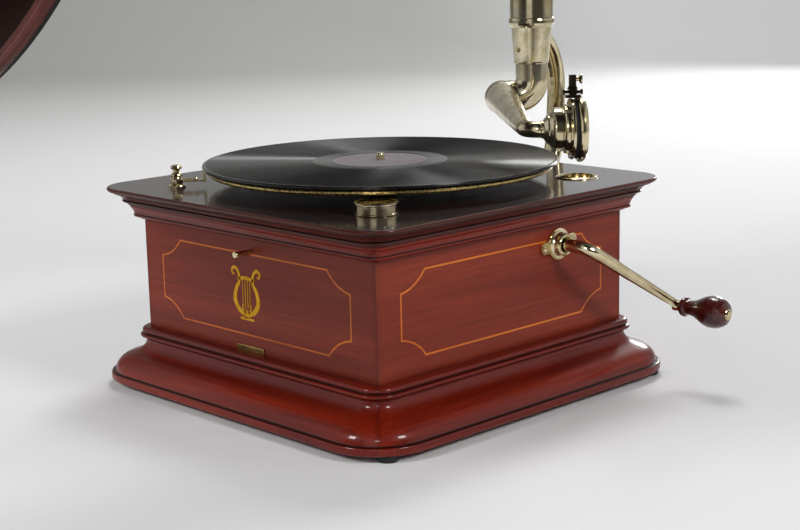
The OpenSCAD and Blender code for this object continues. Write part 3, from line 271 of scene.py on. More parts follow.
# the polished mouldings: redder, with lamps running along their curves and painted shade in
# their creases
plinth_wood = mahogany("polished red mahogany", "#5c1307", "#731a09", "#8a260e", "run",
                       gloss=0.08, coat=0.42, shaded_quirks=(12.35, 44.4))
# the band, with one line of painted shade in its crease
band_wood = mahogany("mahogany band", "#62160a", "#791f0d", "#8c2b14", "run", gloss=0.12,
                     coat=0.3, shaded_quirks=(147.7,))
# nearly black wood under a full coat, which mirrors the room at a low angle
deck_wood = mahogany("dark mahogany deck", "#190605", "#260907", "#3a100a", 0, gloss=0.1,
                     coat=1.0, satin=0.6, pores=0.5)
# the deck edge, with two lines of painted shade in its creases
deck_edge = mahogany("dark mahogany deck edge", "#38100a", "#4c170e", "#5f2013", "run",
                     gloss=0.1, coat=0.45, satin=0.6, pores=0.4, shaded_quirks=(160.35, 167.0))
# thin staves, steamed and glued into a dark bell with joints that run to the mouth, and a
# roll bent from one redder strip; the bell is painted darker still, as painted shade for the
# shadowed inside of the horn
horn_wood = mahogany("horn mahogany with painted shade", "#120604", "#1e0b06", "#2c130a", "grain", gloss=0.1,
                     coat=0.4, staves=10)
rim_wood = mahogany("bent mahogany rim", "#3c110b", "#561b10", "#702816", 2, gloss=0.1,
                    coat=0.5)
# turned on a lathe, so it takes the hardest polish and shows one small sharp light
knob_wood = mahogany("turned mahogany", "#3a0f0b", "#4e1711", "#632118", 0, gloss=0.06,
                     coat=1.0, satin=0.3)
# sawn and left bare inside the case: pale and matt
pine = mahogany("bare pine board", "#8a6a48", "#a48560", "#bb9d77", 0, gloss=0.4, coat=0.0,
                satin=0.7, pores=0.2)
# a let-in line of pale wood, dyed, that reads as orange thread on the red
line_wood = mahogany("dyed satinwood line", "#c45c14", "#dd741f", "#e98a31", "run", gloss=0.2,
                     coat=0.2, pores=0.2)
print("woods made")

# %% [markdown]
# ## Metals
# The arm, the sound box and the small fittings are brass under old nickel plate. Nickel is a
# warm grey, and where it has tarnished it goes towards straw. It is not evenly bright: fine
# rubbing marks and thumb prints change the roughness more than the colour.

# %% Metals
def plated(name, bright, stained, rough, stain=0.5, cloud_mm=16.667):
    """Bare or plated metal with clouds of tarnish and specks of about a millimetre."""
    m, tree, bsdf = new_finish(name, Metallic=1.0)
    place = add(tree, "ShaderNodeTexCoord").outputs["Object"]
    cloud = add(tree, NOISE, Vector=place, Scale=1000 / cloud_mm, Detail=5.0,
                Roughness=0.65).outputs["Fac"]
    speck = add(tree, NOISE, Vector=place, Scale=1000 / 1.1111, Detail=2.0).outputs["Fac"]
    tone = add(tree, RAMP, {
        "stops": [(0.5 - stain * 0.35, bright), (0.5 + stain * 0.4, stained)]}, Fac=cloud)
    spots = add(tree, RAMP, {"stops": [(0.22, 0.55), (0.34, 1.0)]}, Fac=speck)
    mixed = add(tree, *TINT, 0.6, i6=tone, i7=spots)
    gloss = add(tree, "ShaderNodeMapRange", Value=cloud, From_Min=0.3, From_Max=0.7,
                To_Min=rough, To_Max=rough + 0.12)
    plug(tree, bsdf, Base_Color=mixed.outputs[2], Roughness=gloss)
    return m


# cast and drawn brass under nickel, buffed: it mirrors the room in upright stripes
nickel = plated("aged nickel plate", "#e7dec3", "#b5a577", 0.07)
# where hands and screws rub, the brass comes through as straw
nickel_ring = plated("nickel worn to brass", "#ecdfbc", "#c0ae7f", 0.09)
# the arm is wiped often, which dulls its mirror to one broad highlight
nickel_satin = plated("nickel rubbed satin", "#e9e1c8", "#c2b58c", 0.2)
# small parts that nobody wipes go nearly black
dark_metal = plated("tarnished nickel", "#4f4636", "#241e16", 0.14, 0.8)
# inside the case: wheels under lacquer that read warm yellow, turned steel that reads cold
# and grey, and tempered springs that read blue
brass = plated("lacquered brass", "#c9a45c", "#a17c3b", 0.22)
steel = plated("bright steel", "#b9babb", "#96979a", 0.2, 0.3)
blued = plated("blued spring steel", "#3f4a5c", "#2b3240", 0.3)
# rolled plate that has gone brown and keeps only a dull light
bare_plate = plated("bronze plate gone dark", "#8a6c42", "#57422a", 0.35)
# leaf on size: bright, but broken by the wood below it
gilt = plated("gold leaf", "#e3ac2c", "#b98318", 0.38, 0.6, 7.143)
print("metals made")

# %% [markdown]
# ## Paint, rubber, felt and mica
# The motor plates are grey enamel. The turntable's edge is gold enamel with the speckle that
# stoving leaves. Felt is all fibre ends, so it gets sheen and no gloss. Mica is split from a
# block, so it is smooth with faint clouds. All of them are one fine grit at different sizes.

# %% Paint, rubber, felt and mica
def speckled(name, low, high, rough, grit_mm, metallic=0.0, sheen=0.0, coat=0.0, deep=0.1,
             spread=(0.36, 0.62)):
    """A finish of one grit. deep is the depth of its bump in mm, spread its contrast."""
    m, tree, bsdf = new_finish(name, Roughness=rough, Metallic=metallic, Sheen_Weight=sheen,
                               Coat_Weight=coat)
    place = add(tree, "ShaderNodeTexCoord").outputs["Object"]
    grit = add(tree, NOISE, Vector=place, Scale=1000 / grit_mm, Detail=4.0,
               Roughness=0.7).outputs["Fac"]
    tone = add(tree, RAMP, {"stops": [(spread[0], low), (spread[1], high)]}, Fac=grit)
    bump = add(tree, "ShaderNodeBump", Strength=0.5, Distance=deep / 1000, Height=grit)
    plug(tree, bsdf, Base_Color=tone, Normal=bump)
    return m


# brushed on, with a slight orange peel
enamel = speckled("grey motor enamel", "#5c6164", "#6d7275", 0.35, 6.6667, coat=0.4)
# sprayed and stoved: dark and bright grains side by side
gold_edge = speckled("gold stove enamel", "#6b4f22", "#ecd28c", 0.28, 1.6129, metallic=0.9,
                     deep=0.05, spread=(0.4, 0.56))
# baked asphalt varnish, deep black with a soft gloss
japan = speckled("black japan", "#0b0a09", "#161412", 0.45, 4.1667, coat=0.2)
# moulded rubber, matt from age
rubber = speckled("black rubber", "#0e0d0d", "#181716", 0.7, 2.0)
# milled wool cloth, whose fibre ends catch a rim of light
felt_cloth = speckled("black baize", "#0f0d0b", "#221d18", 0.95, 0.71429, sheen=0.4, deep=0.4)
# split sheet, smooth and a little yellow
mica = speckled("mica sheet", "#c9c2ad", "#dcd6c4", 0.2, 12.5, coat=0.6, deep=0.02)
print("paints made")

# %% [markdown]
# ## Shellac record
# The record is pressed shellac, turned about the spindle, so its finish is written in rings.
# The distance from the spindle picks the zone: plain rim, music, run-out. Its grooves are far
# finer than a pixel, so they are drawn as a gloss with a direction. The tangent runs round the
# spindle, which is what draws the bright fans of light that every record shows. The label is
# paper with two printed rings and no words.

# %% Record and label finishes
def from_spindle(tree):
    """The object's place and its distance from the spindle in mm."""
    place = add(tree, "ShaderNodeTexCoord").outputs["Object"]
    flat = add(tree, "ShaderNodeVectorMath", {"operation": "MULTIPLY"}, place, (1, 1, 0))
    away = add(tree, "ShaderNodeVectorMath", {"operation": "LENGTH"}, flat).outputs["Value"]
    return place, add(tree, *TIMES, away, IN_MM)


def shellac_record(rim_mm, inner_mm, passage_mm=2.2222, groove_mm=0.8976):
    """Pressed shellac with music between two radii. The grooves are really a tenth of a
    millimetre apart; they are drawn nine times too coarse, so that the render can hold them."""
    m, tree, bsdf = new_finish("pressed shellac", Anisotropic=1.0, Anisotropic_Rotation=0.25,
                               Specular_IOR_Level=0.45)
    place, in_mm = from_spindle(tree)
    inside = add(tree, MATH, {"operation": "LESS_THAN"}, in_mm, rim_mm)
    outside = add(tree, MATH, {"operation": "GREATER_THAN"}, in_mm, inner_mm)
    music = add(tree, *TIMES, inside, outside)
    # loud and soft passages, 1 to 4 mm wide, are a one dimensional noise of the radius
    passages = add(tree, NOISE, {"noise_dimensions": "1D"}, W=in_mm,
                   Scale=1 / passage_mm, Detail=6.0, Roughness=0.75).outputs["Fac"]
    rough = add(tree, "ShaderNodeMapRange", Value=passages, From_Min=0.3, From_Max=0.7,
                To_Min=0.42, To_Max=0.48)
    rough = add(tree, "ShaderNodeMix", {"data_type": "FLOAT"}, music, i2=0.2, i3=rough)
    tone = add(tree, RAMP, {"stops": [(0.3, "#0d0c0b"), (0.7, "#151412")]}, Fac=passages)
    round_it = add(tree, "ShaderNodeTangent", {"direction_type": "RADIAL", "axis": "Z"})
    # a ring wave repeats every tau / 20 of its own unit
    groove = add(tree, "ShaderNodeTexWave", {"wave_type": "RINGS", "rings_direction": "Z"},
                 Vector=place, Scale=math.tau / 20 * 1000 / groove_mm,
                 Distortion=0.2).outputs["Fac"]
    height = add(tree, *TIMES, groove, music)
    bump = add(tree, "ShaderNodeBump", Strength=0.03, Distance=0.00002, Height=height)
    plug(tree, bsdf, Base_Color=tone, Roughness=rough, Tangent=round_it, Normal=bump)
    return m


def label_paper(pulp_mm=3.8462):
    """Dyed paper, matt in the middle of the shellac. Its two printed rings, at 12 and 37 mm,
    are on a ramp that spans 50 mm."""
    m, tree, bsdf = new_finish("label paper", Roughness=0.55, Specular_IOR_Level=0.4)
    place, in_mm = from_spindle(tree)
    pulp = add(tree, NOISE, Vector=place, Scale=1000 / pulp_mm, Detail=4.0).outputs["Fac"]
    paper = add(tree, RAMP, {"stops": [(0.35, "#857a80"), (0.65, "#9d9298")]}, Fac=pulp)
    border = add(tree, RAMP, {"stops": [
        (0.23, 0.8), (0.24, 1.0), (0.255, 0.8), (0.735, 0.8), (0.745, 1.0), (0.76, 1.0),
        (0.77, 0.8)]}, Fac=add(tree, *TIMES, in_mm, 1 / 50))
    printed = add(tree, *TINT, 1.0, i6=paper, i7=border)
    plug(tree, bsdf, Base_Color=printed.outputs[2])
    return m


shellac = shellac_record(RECORD_RADIUS - 3, 57)
paper_label = label_paper()
print("record finishes made")

# %% [markdown]
# ## Dressing the solids
# Every solid gets the finish of the real piece. The mouldings and the horn made below stand
# for their solids; the lathe turned metal parts are right as they are and only need their
# plate. The pan of the turntable is black japan, so the deck mirrors a dark disc.

# %% Finishes of the solids
dress = {
    rubber: "feet motor_bushes gaskets",
    plinth_wood: "plinth",
    pine: "bottom_board",
    body_wood: "case_front case_back case_left case_right",
    line_wood: "inlay",
    bare_plate: "name_plate",
    band_wood: "case_band",
    deck_wood: "deck",
    steel: "motor_bolts pillars winding_pinion governor_shaft "
           "bracket_screws swivel_screw ring_screws",
    enamel: "motor_top_plate motor_bottom_plate winding_bearing",
    brass: "winding_wheel spring_barrel barrel_cover intermediate_wheel spindle_wheel "
           "governor_disc governor_weights",
    blued: "mainspring governor_springs",
    nickel_ring: "crank knob_washer escutcheon escutcheon_screws brake_post brake_lever "
                 "cup_lid needle_cup open_cup front_ring needle_screw spindle regulator_rod",
    nickel: "bracket pivot_elbow tone_arm soundbox_back horn_elbow",
    dark_metal: "stylus_bar",
    mica: "diaphragm",
    knob_wood: "knob",
    japan: "platter",
    felt_cloth: "felt",
    shellac: "record",
    horn_wood: "horn_bell",
    rim_wood: "horn_rim",
}
for finish, names in dress.items():
    for name in names.split():
        mesh = nodes[name].data
        mesh.materials.clear()
        mesh.materials.append(finish)
print("dressed", sum(len(names.split()) for names in dress.values()), "solids")

# %% [markdown]
# ## Sections and sweeps
# The plinth, the band, the deck edge and the horn's rim are one idea: a section that a cutter
# leaves on the wood, carried round the object. They could be extruded and beveled by hand, but
# a sweep in Geometry Nodes keeps the section as a short table and the path as two sizes. The
# corners of this case are rounded about a centre, so every line of the moulding stays parallel.
# With its corner centre at zero the same path is a circle, which turns the record, the rim and
# the arm as a lathe does.

# %% Section helpers
def finer(points, steps=3, corner=36):
    """A closed section with more points on its curves; turns sharper than corner stay sharp."""
    pts = [Vector(p) for p in points]
    n = len(pts)

    def sharp(i):
        a, b = pts[i] - pts[i - 1], pts[(i + 1) % n] - pts[i]
        return a.length < 1e-9 or b.length < 1e-9 or a.angle(b) > math.radians(corner)

    def heading(i):
        return (pts[(i + 1) % n] - pts[i - 1]).normalized()

    out = []
    for i in range(n):
        p, q = pts[i], pts[(i + 1) % n]
        length = (q - p).length
        a = q - p if sharp(i) else heading(i) * length
        b = q - p if sharp((i + 1) % n) else heading((i + 1) % n) * length
        straight = sharp(i) and sharp((i + 1) % n)
        for k in range(1 if straight else steps):
            t = k / steps
            out.append(p * (2 * t ** 3 - 3 * t * t + 1) + q * (3 * t * t - 2 * t ** 3)
                       + a * (t ** 3 - 2 * t * t + t) + b * (t ** 3 - t * t))
    return out


def section_mesh(name, points, inward):
    """A section as a closed loop of edges, in metres, with x measured from inward."""
    mesh = bpy.data.meshes.new(name)
    n = len(points)
    mesh.from_pydata([((p[0] - inward) / 1000, -p[1] / 1000, 0) for p in points],
                     [(k, (k + 1) % n) for k in range(n)], [])
    return mesh


print("a square section stays", len(finer([(0, 0), (1, 0), (1, 1), (0, 1)])), "points")

# %% A tree that carries a section round a rounded square
def new_tree(name, inputs):
    """(tree, its inputs by name, its output node) with the sizes as named inputs."""
    tree = bpy.data.node_groups.new(name, "GeometryNodeTree")
    face = tree.interface
    face.new_socket("Section", in_out="INPUT", socket_type="NodeSocketGeometry")
    for label, kind in inputs:
        face.new_socket(label, in_out="INPUT", socket_type="NodeSocket" + kind)
    face.new_socket("Finish", in_out="INPUT", socket_type="NodeSocketMaterial")
    face.new_socket("Result", in_out="OUTPUT", socket_type="NodeSocketGeometry")
    return tree, tree.nodes.new("NodeGroupInput").outputs, tree.nodes.new("NodeGroupOutput")


def close_tree(tree, shape, given, result):
    """Every tree here ends the same way: merged, smooth, real geometry with its finish."""
    whole = add(tree, "GeometryNodeMergeByDistance", Geometry=shape, Distance=0.00001)
    smooth = add(tree, "GeometryNodeSetShadeSmooth", Geometry=whole)
    real = add(tree, "GeometryNodeRealizeInstances", Geometry=smooth)
    done = add(tree, "GeometryNodeSetMaterial", Geometry=real, Material=given["Finish"])
    plug(tree, result, done)


sweep, given, result = new_tree("moulding round a case", [
    ("Corner centre", "Float"), ("Corner radius", "Float"), ("Corner steps", "Int")])
reach = add(sweep, *PLUS, given["Corner centre"], given["Corner radius"])
side = add(sweep, *TIMES, reach, 2.0)
square = add(sweep, "GeometryNodeCurvePrimitiveQuadrilateral", Width=side, Height=side)
path = add(sweep, "GeometryNodeFilletCurve", {"mode": "POLY"}, Curve=square,
           Count=given["Corner steps"], Radius=given["Corner radius"])
path = add(sweep, "GeometryNodeSetCurveNormal", {"mode": "Z_UP"}, Curve=path)
cut = add(sweep, "GeometryNodeMeshToCurve", Mesh=given["Section"])
solid = add(sweep, "GeometryNodeCurveToMesh", Curve=path, Profile_Curve=cut)
close_tree(sweep, solid, given, result)
print("sweep tree of", len(sweep.nodes), "nodes")

# %% Running a tree and keeping its mesh
def keep_mesh(obj):
    """Turns an object into the plain mesh that its modifiers leave."""
    seen = obj.evaluated_get(bpy.context.evaluated_depsgraph_get())
    mesh = bpy.data.meshes.new_from_object(seen)
    obj.modifiers.clear()
    obj.data = mesh
    return mesh


def face_outward(mesh, merge=None):
    """Turns every face outward, once points closer than merge, in metres, are one."""
    bm = bmesh.new()
    bm.from_mesh(mesh)
    if merge:
        bmesh.ops.remove_doubles(bm, verts=bm.verts, dist=merge)
    bmesh.ops.recalc_face_normals(bm, faces=bm.faces)
    bm.to_mesh(mesh)
    bm.free()


def put(name, mesh):
    """A new object at the origin for a mesh whose points are in place."""
    obj = bpy.data.objects.new(name, mesh)
    bpy.context.scene.collection.objects.link(obj)
    return obj


def grow(name, start, tree, values, sharp=34, place=None, wall=None):
    """Runs a tree on a start mesh and keeps the plain result, faces outward."""
    obj = put(name, start)
    mod = obj.modifiers.new("tree", "NODES")
    mod.node_group = tree
    for item in tree.interface.items_tree:
        if item.in_out == "INPUT" and item.name in values:
            mod[item.identifier] = values[item.name]
    mesh = keep_mesh(obj)
    mesh.name = name
    face_outward(mesh, merge=0.000005)
    if wall:
        thick = obj.modifiers.new("wall", "SOLIDIFY")
        thick.thickness = wall
        thick.offset = -1
        thick.use_even_offset = True
        mesh = keep_mesh(obj)
    if place:
        mesh.transform(place)
    mesh.set_sharp_from_angle(angle=math.radians(sharp))
    print(name, "faces:", len(mesh.polygons),
          "z from", round(min(v.co.z for v in mesh.vertices), 4),
          "to", round(max(v.co.z for v in mesh.vertices), 4))
    return obj


def round_case(name, section, centre, radius, finish, steps=14, **more):
    """The section, in mm beyond the corner centre and above the floor, round the case."""
    start = section_mesh(name, finer(section), radius)
    return grow(name, start, sweep, {"Corner centre": centre / 1000,
                "Corner radius": radius / 1000, "Corner steps": steps, "Finish": finish}, **more)


def plain_mesh(name, verts, faces, finish):
    """A mesh from points in mm."""
    mesh = bpy.data.meshes.new(name)
    mesh.from_pydata([tuple(c / 1000 for c in v) for v in verts], [], faces)
    mesh.materials.append(finish)
    face_outward(mesh)
    print(name, "faces:", len(mesh.polygons))
    return put(name, mesh)


def settle(obj, body, slot, *stands_for):
    """A finished piece: what carries it, its material slot, which is not used, and the solids it
    stands for.
    """
    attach(obj, body)
    if stands_for:
        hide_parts(*stands_for)


print("sweeping ready")

# %% [markdown]
# ## Plinth
# The plinth is the piece that catches the eye: a thick board with an ogee run on it, a swelling
# curve that turns hollow towards the case, then two fine beads. The section is a table of shares
# of its projection and height, the same table that the solids use, and the points between them
# are interpolated so that the lamps run along it without a break.

# %% Plinth
OGEE = [(0.974, 0), (1, 0.018), (1, 0.11), (0.994, 0.128), (0.978, 0.142), (0.94, 0.15),
        (0.89, 0.152), (0.884, 0.168), (0.876, 0.2), (0.862, 0.236), (0.84, 0.272),
        (0.81, 0.308), (0.772, 0.342), (0.726, 0.374), (0.672, 0.404), (0.61, 0.43),
        (0.54, 0.453), (0.466, 0.473), (0.39, 0.491), (0.316, 0.509), (0.246, 0.529),
        (0.182, 0.552), (0.126, 0.578), (0.078, 0.608), (0.042, 0.64), (0.016, 0.675),
        (0.002, 0.71), (0, 0.735), (0.01, 0.762), (0.034, 0.784), (0.072, 0.8), (0.128, 0.81),
        (0.146, 0.822), (0.152, 0.838), (0.146, 0.854), (0.128, 0.866), (0.09, 0.876),
        (0.062, 0.88), (0.05, 0.89), (0.062, 0.9), (0.084, 0.912), (0.094, 0.93),
        (0.09, 0.952), (0.074, 0.972), (0.048, 0.988), (0.016, 0.997), (0, 1)]
# the corners turn about a centre 9 mm inside the boards, and the ledge stands past it
plinth_corner = CASE_HALF - 9
ledge = 16.8
projection = PLINTH_HALF - plinth_corner - ledge
section = [(0, FOOT_HIGH)]
section += [(ledge + projection * a, FOOT_HIGH + PLINTH_HIGH * b) for a, b in OGEE]
section += [(0, plinth_top)]
plinth = round_case("plinth_moulding", section, plinth_corner, ledge, plinth_wood)
settle(plinth, "case", "base_wood", "plinth")

# %% Rails behind the mouldings
def square_ring(name, inner, outer, z0, z1, finish):
    """Four mitred rails with a plain square section, in mm."""
    corners = [(-1, -1), (1, -1), (1, 1), (-1, 1)]
    verts = [(x * r, y * r, z) for z in (z0, z1) for r in (inner, outer) for x, y in corners]
    faces = []
    for k in range(4):
        m = (k + 1) % 4
        a, b = (k, m), (4 + k, 4 + m)
        faces += [(a[0], a[1], b[1], b[0]), (8 + b[0], 8 + b[1], 8 + a[1], 8 + a[0]),
                  (a[0], 8 + a[0], 8 + a[1], a[1]), (b[1], 8 + b[1], 8 + b[0], b[0])]
    return plain_mesh(name, verts, faces, finish)


rails = square_ring("plinth_rails", plinth_corner - 3, plinth_corner + 0.3, FOOT_HIGH,
                    plinth_top, pine)
settle(rails, "case", "board_wood")

# %% [markdown]
# ## Band and deck
# Under the deck runs a red band, hollow below and rounded above. The deck itself is a board
# with a stepped edge: a small bead, a hollow and a thumb nail. Both edges use the same sweep.
# The flat of the deck is a board of its own with the holes for the spindle and the needle cup.

# %% Band
BAND = [(0, 0), (2.4, 0), (3.4, 0.015), (5.6, 0.08), (7.8, 0.16), (9.8, 0.22), (11.2, 0.25),
        (11.9, 0.29), (12.1, 0.35), (11.9, 0.4), (11.4, 0.42), (11.6, 0.5), (12.1, 0.6),
        (12.8, 0.7), (13.7, 0.79), (14.7, 0.86), (14.8, 0.93), (14.6, 1), (0, 1)]
deck_corner = CASE_HALF - 2
section = [(x, body_top + BAND_HIGH * share) for x, share in BAND]
band = round_case("case_band_moulding", section, deck_corner, 8, band_wood)
settle(band, "case", "band_wood", "case_band")
rails = square_ring("band_rails", deck_corner - 7, deck_corner + 0.3, body_top, band_top, pine)
settle(rails, "case", "board_wood")

# %% Deck edge
DECK = [(0.08, 0), (0.11, 0.04), (0.11, 0.14), (0.28, 0.16), (0.33, 0.2), (0.33, 0.25),
        (0.28, 0.29), (0.3, 0.31), (0.36, 0.4), (0.44, 0.49), (0.53, 0.56), (0.62, 0.62),
        (0.7, 0.655), (0.75, 0.67), (0.75, 0.745), (0.9, 0.765), (0.96, 0.8), (0.99, 0.85)]
band_out = 14.8
deck_out = DECK_HALF - deck_corner
overhang = deck_out - band_out
section = [(0, band_top)]
section += [(band_out + overhang * a, band_top + DECK_THICK * b) for a, b in DECK]
section += [(deck_out, band_top + DECK_THICK * 0.9),
            (deck_out - 0.25, band_top + DECK_THICK * 0.95),
            (deck_out - 0.8, band_top + DECK_THICK * 0.985), (deck_out - 1.6, deck_top),
            (deck_out - 2.2, deck_top), (deck_out - 2.2, deck_top - 3), (0, deck_top - 3)]
edge = round_case("deck_moulding", section, deck_corner, 14, deck_edge)
settle(edge, "case", "deck_wood", "deck")

# %% Deck board
def bored_board(name, centre, corner, z0, z1, holes, finish):
    """A rounded square board in mm with round holes (x, y, radius)."""
    loops = [[(centre * sx + corner * math.cos(a), centre * sy + corner * math.sin(a))
              for q, (sx, sy) in enumerate(((1, 1), (-1, 1), (-1, -1), (1, -1)))
              for a in ((q * 16 + k) * math.pi / 32 for k in range(17))]]
    for x, y, r in holes:
        loops.append([(x + r * math.cos(a), y + r * math.sin(a))
                      for a in (k * math.tau / 64 for k in range(64))])
    mesh = bpy.data.meshes.new(name)
    bm = bmesh.new()
    levels = []
    for z in (z0, z1):
        rings = [[bm.verts.new((x / 1000, y / 1000, z / 1000)) for x, y in loop]
                 for loop in loops]
        edges = [bm.edges.new((ring[k - 1], ring[k])) for ring in rings
                 for k in range(len(ring))]
        bmesh.ops.triangle_fill(bm, edges=edges, use_beauty=True)
        levels.append(rings)
    for low, high in zip(*levels):
        for k in range(len(low)):
            bm.faces.new((low[k - 1], low[k], high[k], high[k - 1]))
    bmesh.ops.recalc_face_normals(bm, faces=bm.faces)
    bm.to_mesh(mesh)
    bm.free()
    mesh.materials.append(finish)
    print(name, "faces:", len(mesh.polygons))
    return put(name, mesh)


# (x, y, radius) of the holes for the spindle and the needle cup
bores = [(0, 0, 10), (117, 117, 15.5)]
board = bored_board("deck_board", deck_corner, deck_out - 2.1, deck_top - 3, deck_top, bores,
                    deck_wood)
core = bored_board("deck_core", deck_corner - 10, 10.2, band_top + 0.2, deck_top - 2.9, bores,
                   pine)
settle(core, "case", "board_wood")
settle(board, "case", "deck_wood")

# %% [markdown]
# ## Record and turntable
# A shellac record is pressed between two dies, so its rim is a rounded bead that stands a
# little proud of the music, and the label sits in a shallow well. The section is turned with
# the same sweep, its corner centre at zero. The turntable is gold only where it shows, on its
# edge, which is a rolled lip on the pan.

# %% Record and label
record_pressing = [
    (3.68, -2.4), (50, -2.4), (54, -2.7), (148.9, -2.7), (149.6, -2.5), (149.95, -2),
    (RECORD_RADIUS, -1.3), (149.95, -0.7), (149.6, -0.2), (148.9, 0), (147.4, 0),
    (146.2, -0.14), (145.2, -0.24), (57.4, -0.25), (56.8, -0.4), (56, -0.5), (55.2, -0.4),
    (54.6, -0.25), (41.6, -0.25), (40.8, -0.4), (40.2, -0.5), (3.68, -0.5)]
section = [(x, RECORD_TOP + z) for x, z in record_pressing]
disc = round_case("shellac_record", section, 0, 100, shellac, steps=48)
settle(disc, "disc", "shellac", "record")
label_cut = [(3.7, -0.6), (40.1, -0.6), (40.1, -0.44), (3.7, -0.44)]
section = [(x, RECORD_TOP + z) for x, z in label_cut]
label = round_case("record_label", section, 0, 20, paper_label, steps=32)
settle(label, "disc", "shellac")

# %% Turntable edge
rolled_lip = [
    (100, -0.6), (140.4, -0.6), (141.4, -3.2), (142.7, -3.75), (143.9, -3.65), (144.8, -3.2),
    (145.35, -2.4), (145.5, -1.6), (145.35, -0.8), (144.9, -0.2), (144.3, 0), (100, 0)]
section = [(x, TURNTABLE_TOP + z) for x, z in rolled_lip]
lip = round_case("turntable_edge", section, 0, 100, gold_edge, steps=48)
settle(lip, "turntable", "gilt_rim")

# %% [markdown]
# ## Horn
# The bell follows a rule. Its radius grows as an exponential of the distance from the throat,
# which is what lets it load the small diaphragm well, so a tree that computes the surface from
# the mouth, the throat, the length and the flare is the honest way to make it. A flat grid
# gives one direction for the turn round the axis and one for the way along it. The grain runs
# along staves, so the grid keeps both distances as a map for the wood.

# %% Tree of the bell
bell_tree, given, result = new_tree("exponential bell", [
    ("Throat radius", "Float"), ("Mouth radius", "Float"), ("Length", "Float"),
    ("Flare", "Float")])
grid = add(bell_tree, "GeometryNodeMeshGrid", Size_X=1.0, Size_Y=1.0, Vertices_X=161,
           Vertices_Y=72)
spot = add(bell_tree, "GeometryNodeInputPosition")
at = add(bell_tree, "ShaderNodeSeparateXYZ", Vector=spot).outputs
# the way along is a power, so that the rings lie closer together where the bell turns fast,
# and the first ring lies 2 mm past the throat
first_ring = 0.0042
share = add(bell_tree, *PLUS, at["Y"], 0.5)
share = add(bell_tree, MATH, {"operation": "POWER"}, share, 0.85)
share = add(bell_tree, *TIMES, share, 1 - first_ring)
share = add(bell_tree, *PLUS, share, first_ring)
turn = add(bell_tree, *TIMES, at["X"], math.tau)
# radius = throat + (mouth - throat) * (exp(flare * share) - 1) / (exp(flare) - 1)
rise = add(bell_tree, *TIMES, share, given["Flare"])
rise = add(bell_tree, MATH, {"operation": "EXPONENT"}, rise)
rise = add(bell_tree, *MINUS, rise, 1.0)
full = add(bell_tree, MATH, {"operation": "EXPONENT"}, given["Flare"])
full = add(bell_tree, *MINUS, full, 1.0)
rise = add(bell_tree, MATH, {"operation": "DIVIDE"}, rise, full)
widen = add(bell_tree, *MINUS, given["Mouth radius"], given["Throat radius"])
widen = add(bell_tree, *TIMES, widen, rise)
radius = add(bell_tree, *PLUS, given["Throat radius"], widen)
along = add(bell_tree, *TIMES, share, given["Length"])
x, y = (add(bell_tree, *TIMES, radius, add(bell_tree, MATH, {"operation": wave}, turn))
        for wave in ("COSINE", "SINE"))
spot = add(bell_tree, "ShaderNodeCombineXYZ", X=x, Y=y, Z=along)
across = add(bell_tree, *TIMES, turn, GRAIN_TURN)
grain = add(bell_tree, "ShaderNodeCombineXYZ", X=along, Y=across)
kept = add(bell_tree, "GeometryNodeStoreNamedAttribute",
           {"data_type": "FLOAT2", "domain": "CORNER"}, Geometry=grid, Name="grain",
           Value=grain)
flared = add(bell_tree, "GeometryNodeSetPosition", Geometry=kept, Position=spot)
close_tree(bell_tree, flared, given, result)
print("bell tree of", len(bell_tree.nodes), "nodes")

# %% Bell
throat = (Matrix.Translation((0, 0.1333107, 0.4016221))
          @ Matrix.Rotation(math.radians(79), 4, "X"))
bell = grow("horn_bell", bpy.data.meshes.new("horn_bell"), bell_tree, {
    "Throat radius": 0.0205, "Mouth radius": 0.24148, "Length": HORN_LONG / 1000,
    "Flare": 3.6, "Finish": horn_wood}, place=throat, wall=HORN_WALL / 1000)
settle(bell, "horn", "horn_wood", "horn_bell")

# %% Rim: a roll outside the mouth and a small bead inside it
roll_radius = 3.5
roll_turns = [math.radians(-89 + k * 12.5) for k in range(17)]
section = [(238.6, 4.5), (241.5, 0.05), (242.9, 0.3)]
section += [(244.45 + roll_radius * math.cos(a), 4.9 + roll_radius * math.sin(a))
            for a in roll_turns]
section += [(240.6, 7), (239.7, 7), (239.1, 7.4), (238.3, 7.6), (237.7, 7.2), (237.7, 6.4)]
section = [(x, HORN_LONG + z) for x, z in section]
roll = round_case("horn_rim", section, 0, 238, rim_wood, steps=40, place=throat)
settle(roll, "horn", "rim_wood", "horn_rim")

# %% [markdown]
# ## Goose neck
# The socket stands on a cast bar that leaves the back of the case, dips in and rises to the
# tube. On the real one it is a rounded oval that swells at both ends. Here it is a tree that
# runs an oval along the line of the solid bar, which then lies inside it.

# %% Tree of the bar
neck_tree, given, result = new_tree("oval bar on a line", [
    ("Half width", "Float"), ("Depth to width", "Float")])
line = add(neck_tree, "GeometryNodeMeshToCurve", Mesh=given["Section"])
line = add(neck_tree, "GeometryNodeResampleCurve", Curve=line, Count=64)
line = add(neck_tree, "GeometryNodeSetCurveNormal", {"mode": "MINIMUM_TWIST"}, Curve=line)
ring = add(neck_tree, "GeometryNodeCurvePrimitiveCircle", Resolution=40,
           Radius=given["Half width"])
squeeze = add(neck_tree, "ShaderNodeCombineXYZ", X=1.0, Y=given["Depth to width"], Z=1.0)
oval = add(neck_tree, "GeometryNodeTransform", Geometry=ring, Scale=squeeze)
bar = add(neck_tree, "GeometryNodeCurveToMesh", Curve=line, Profile_Curve=oval, Fill_Caps=True)
close_tree(neck_tree, bar, given, result)
print("bar tree of", len(neck_tree.nodes), "nodes")

# %% Goose neck of the bracket
def bent(p, n):
    """Points of a cubic curve through four control points."""
    p = [Vector(q) for q in p]
    return [(1 - t) ** 3 * p[0] + 3 * (1 - t) ** 2 * t * p[1] + 3 * (1 - t) * t * t * p[2]
            + t ** 3 * p[3] for t in (k / n for k in range(n + 1))]


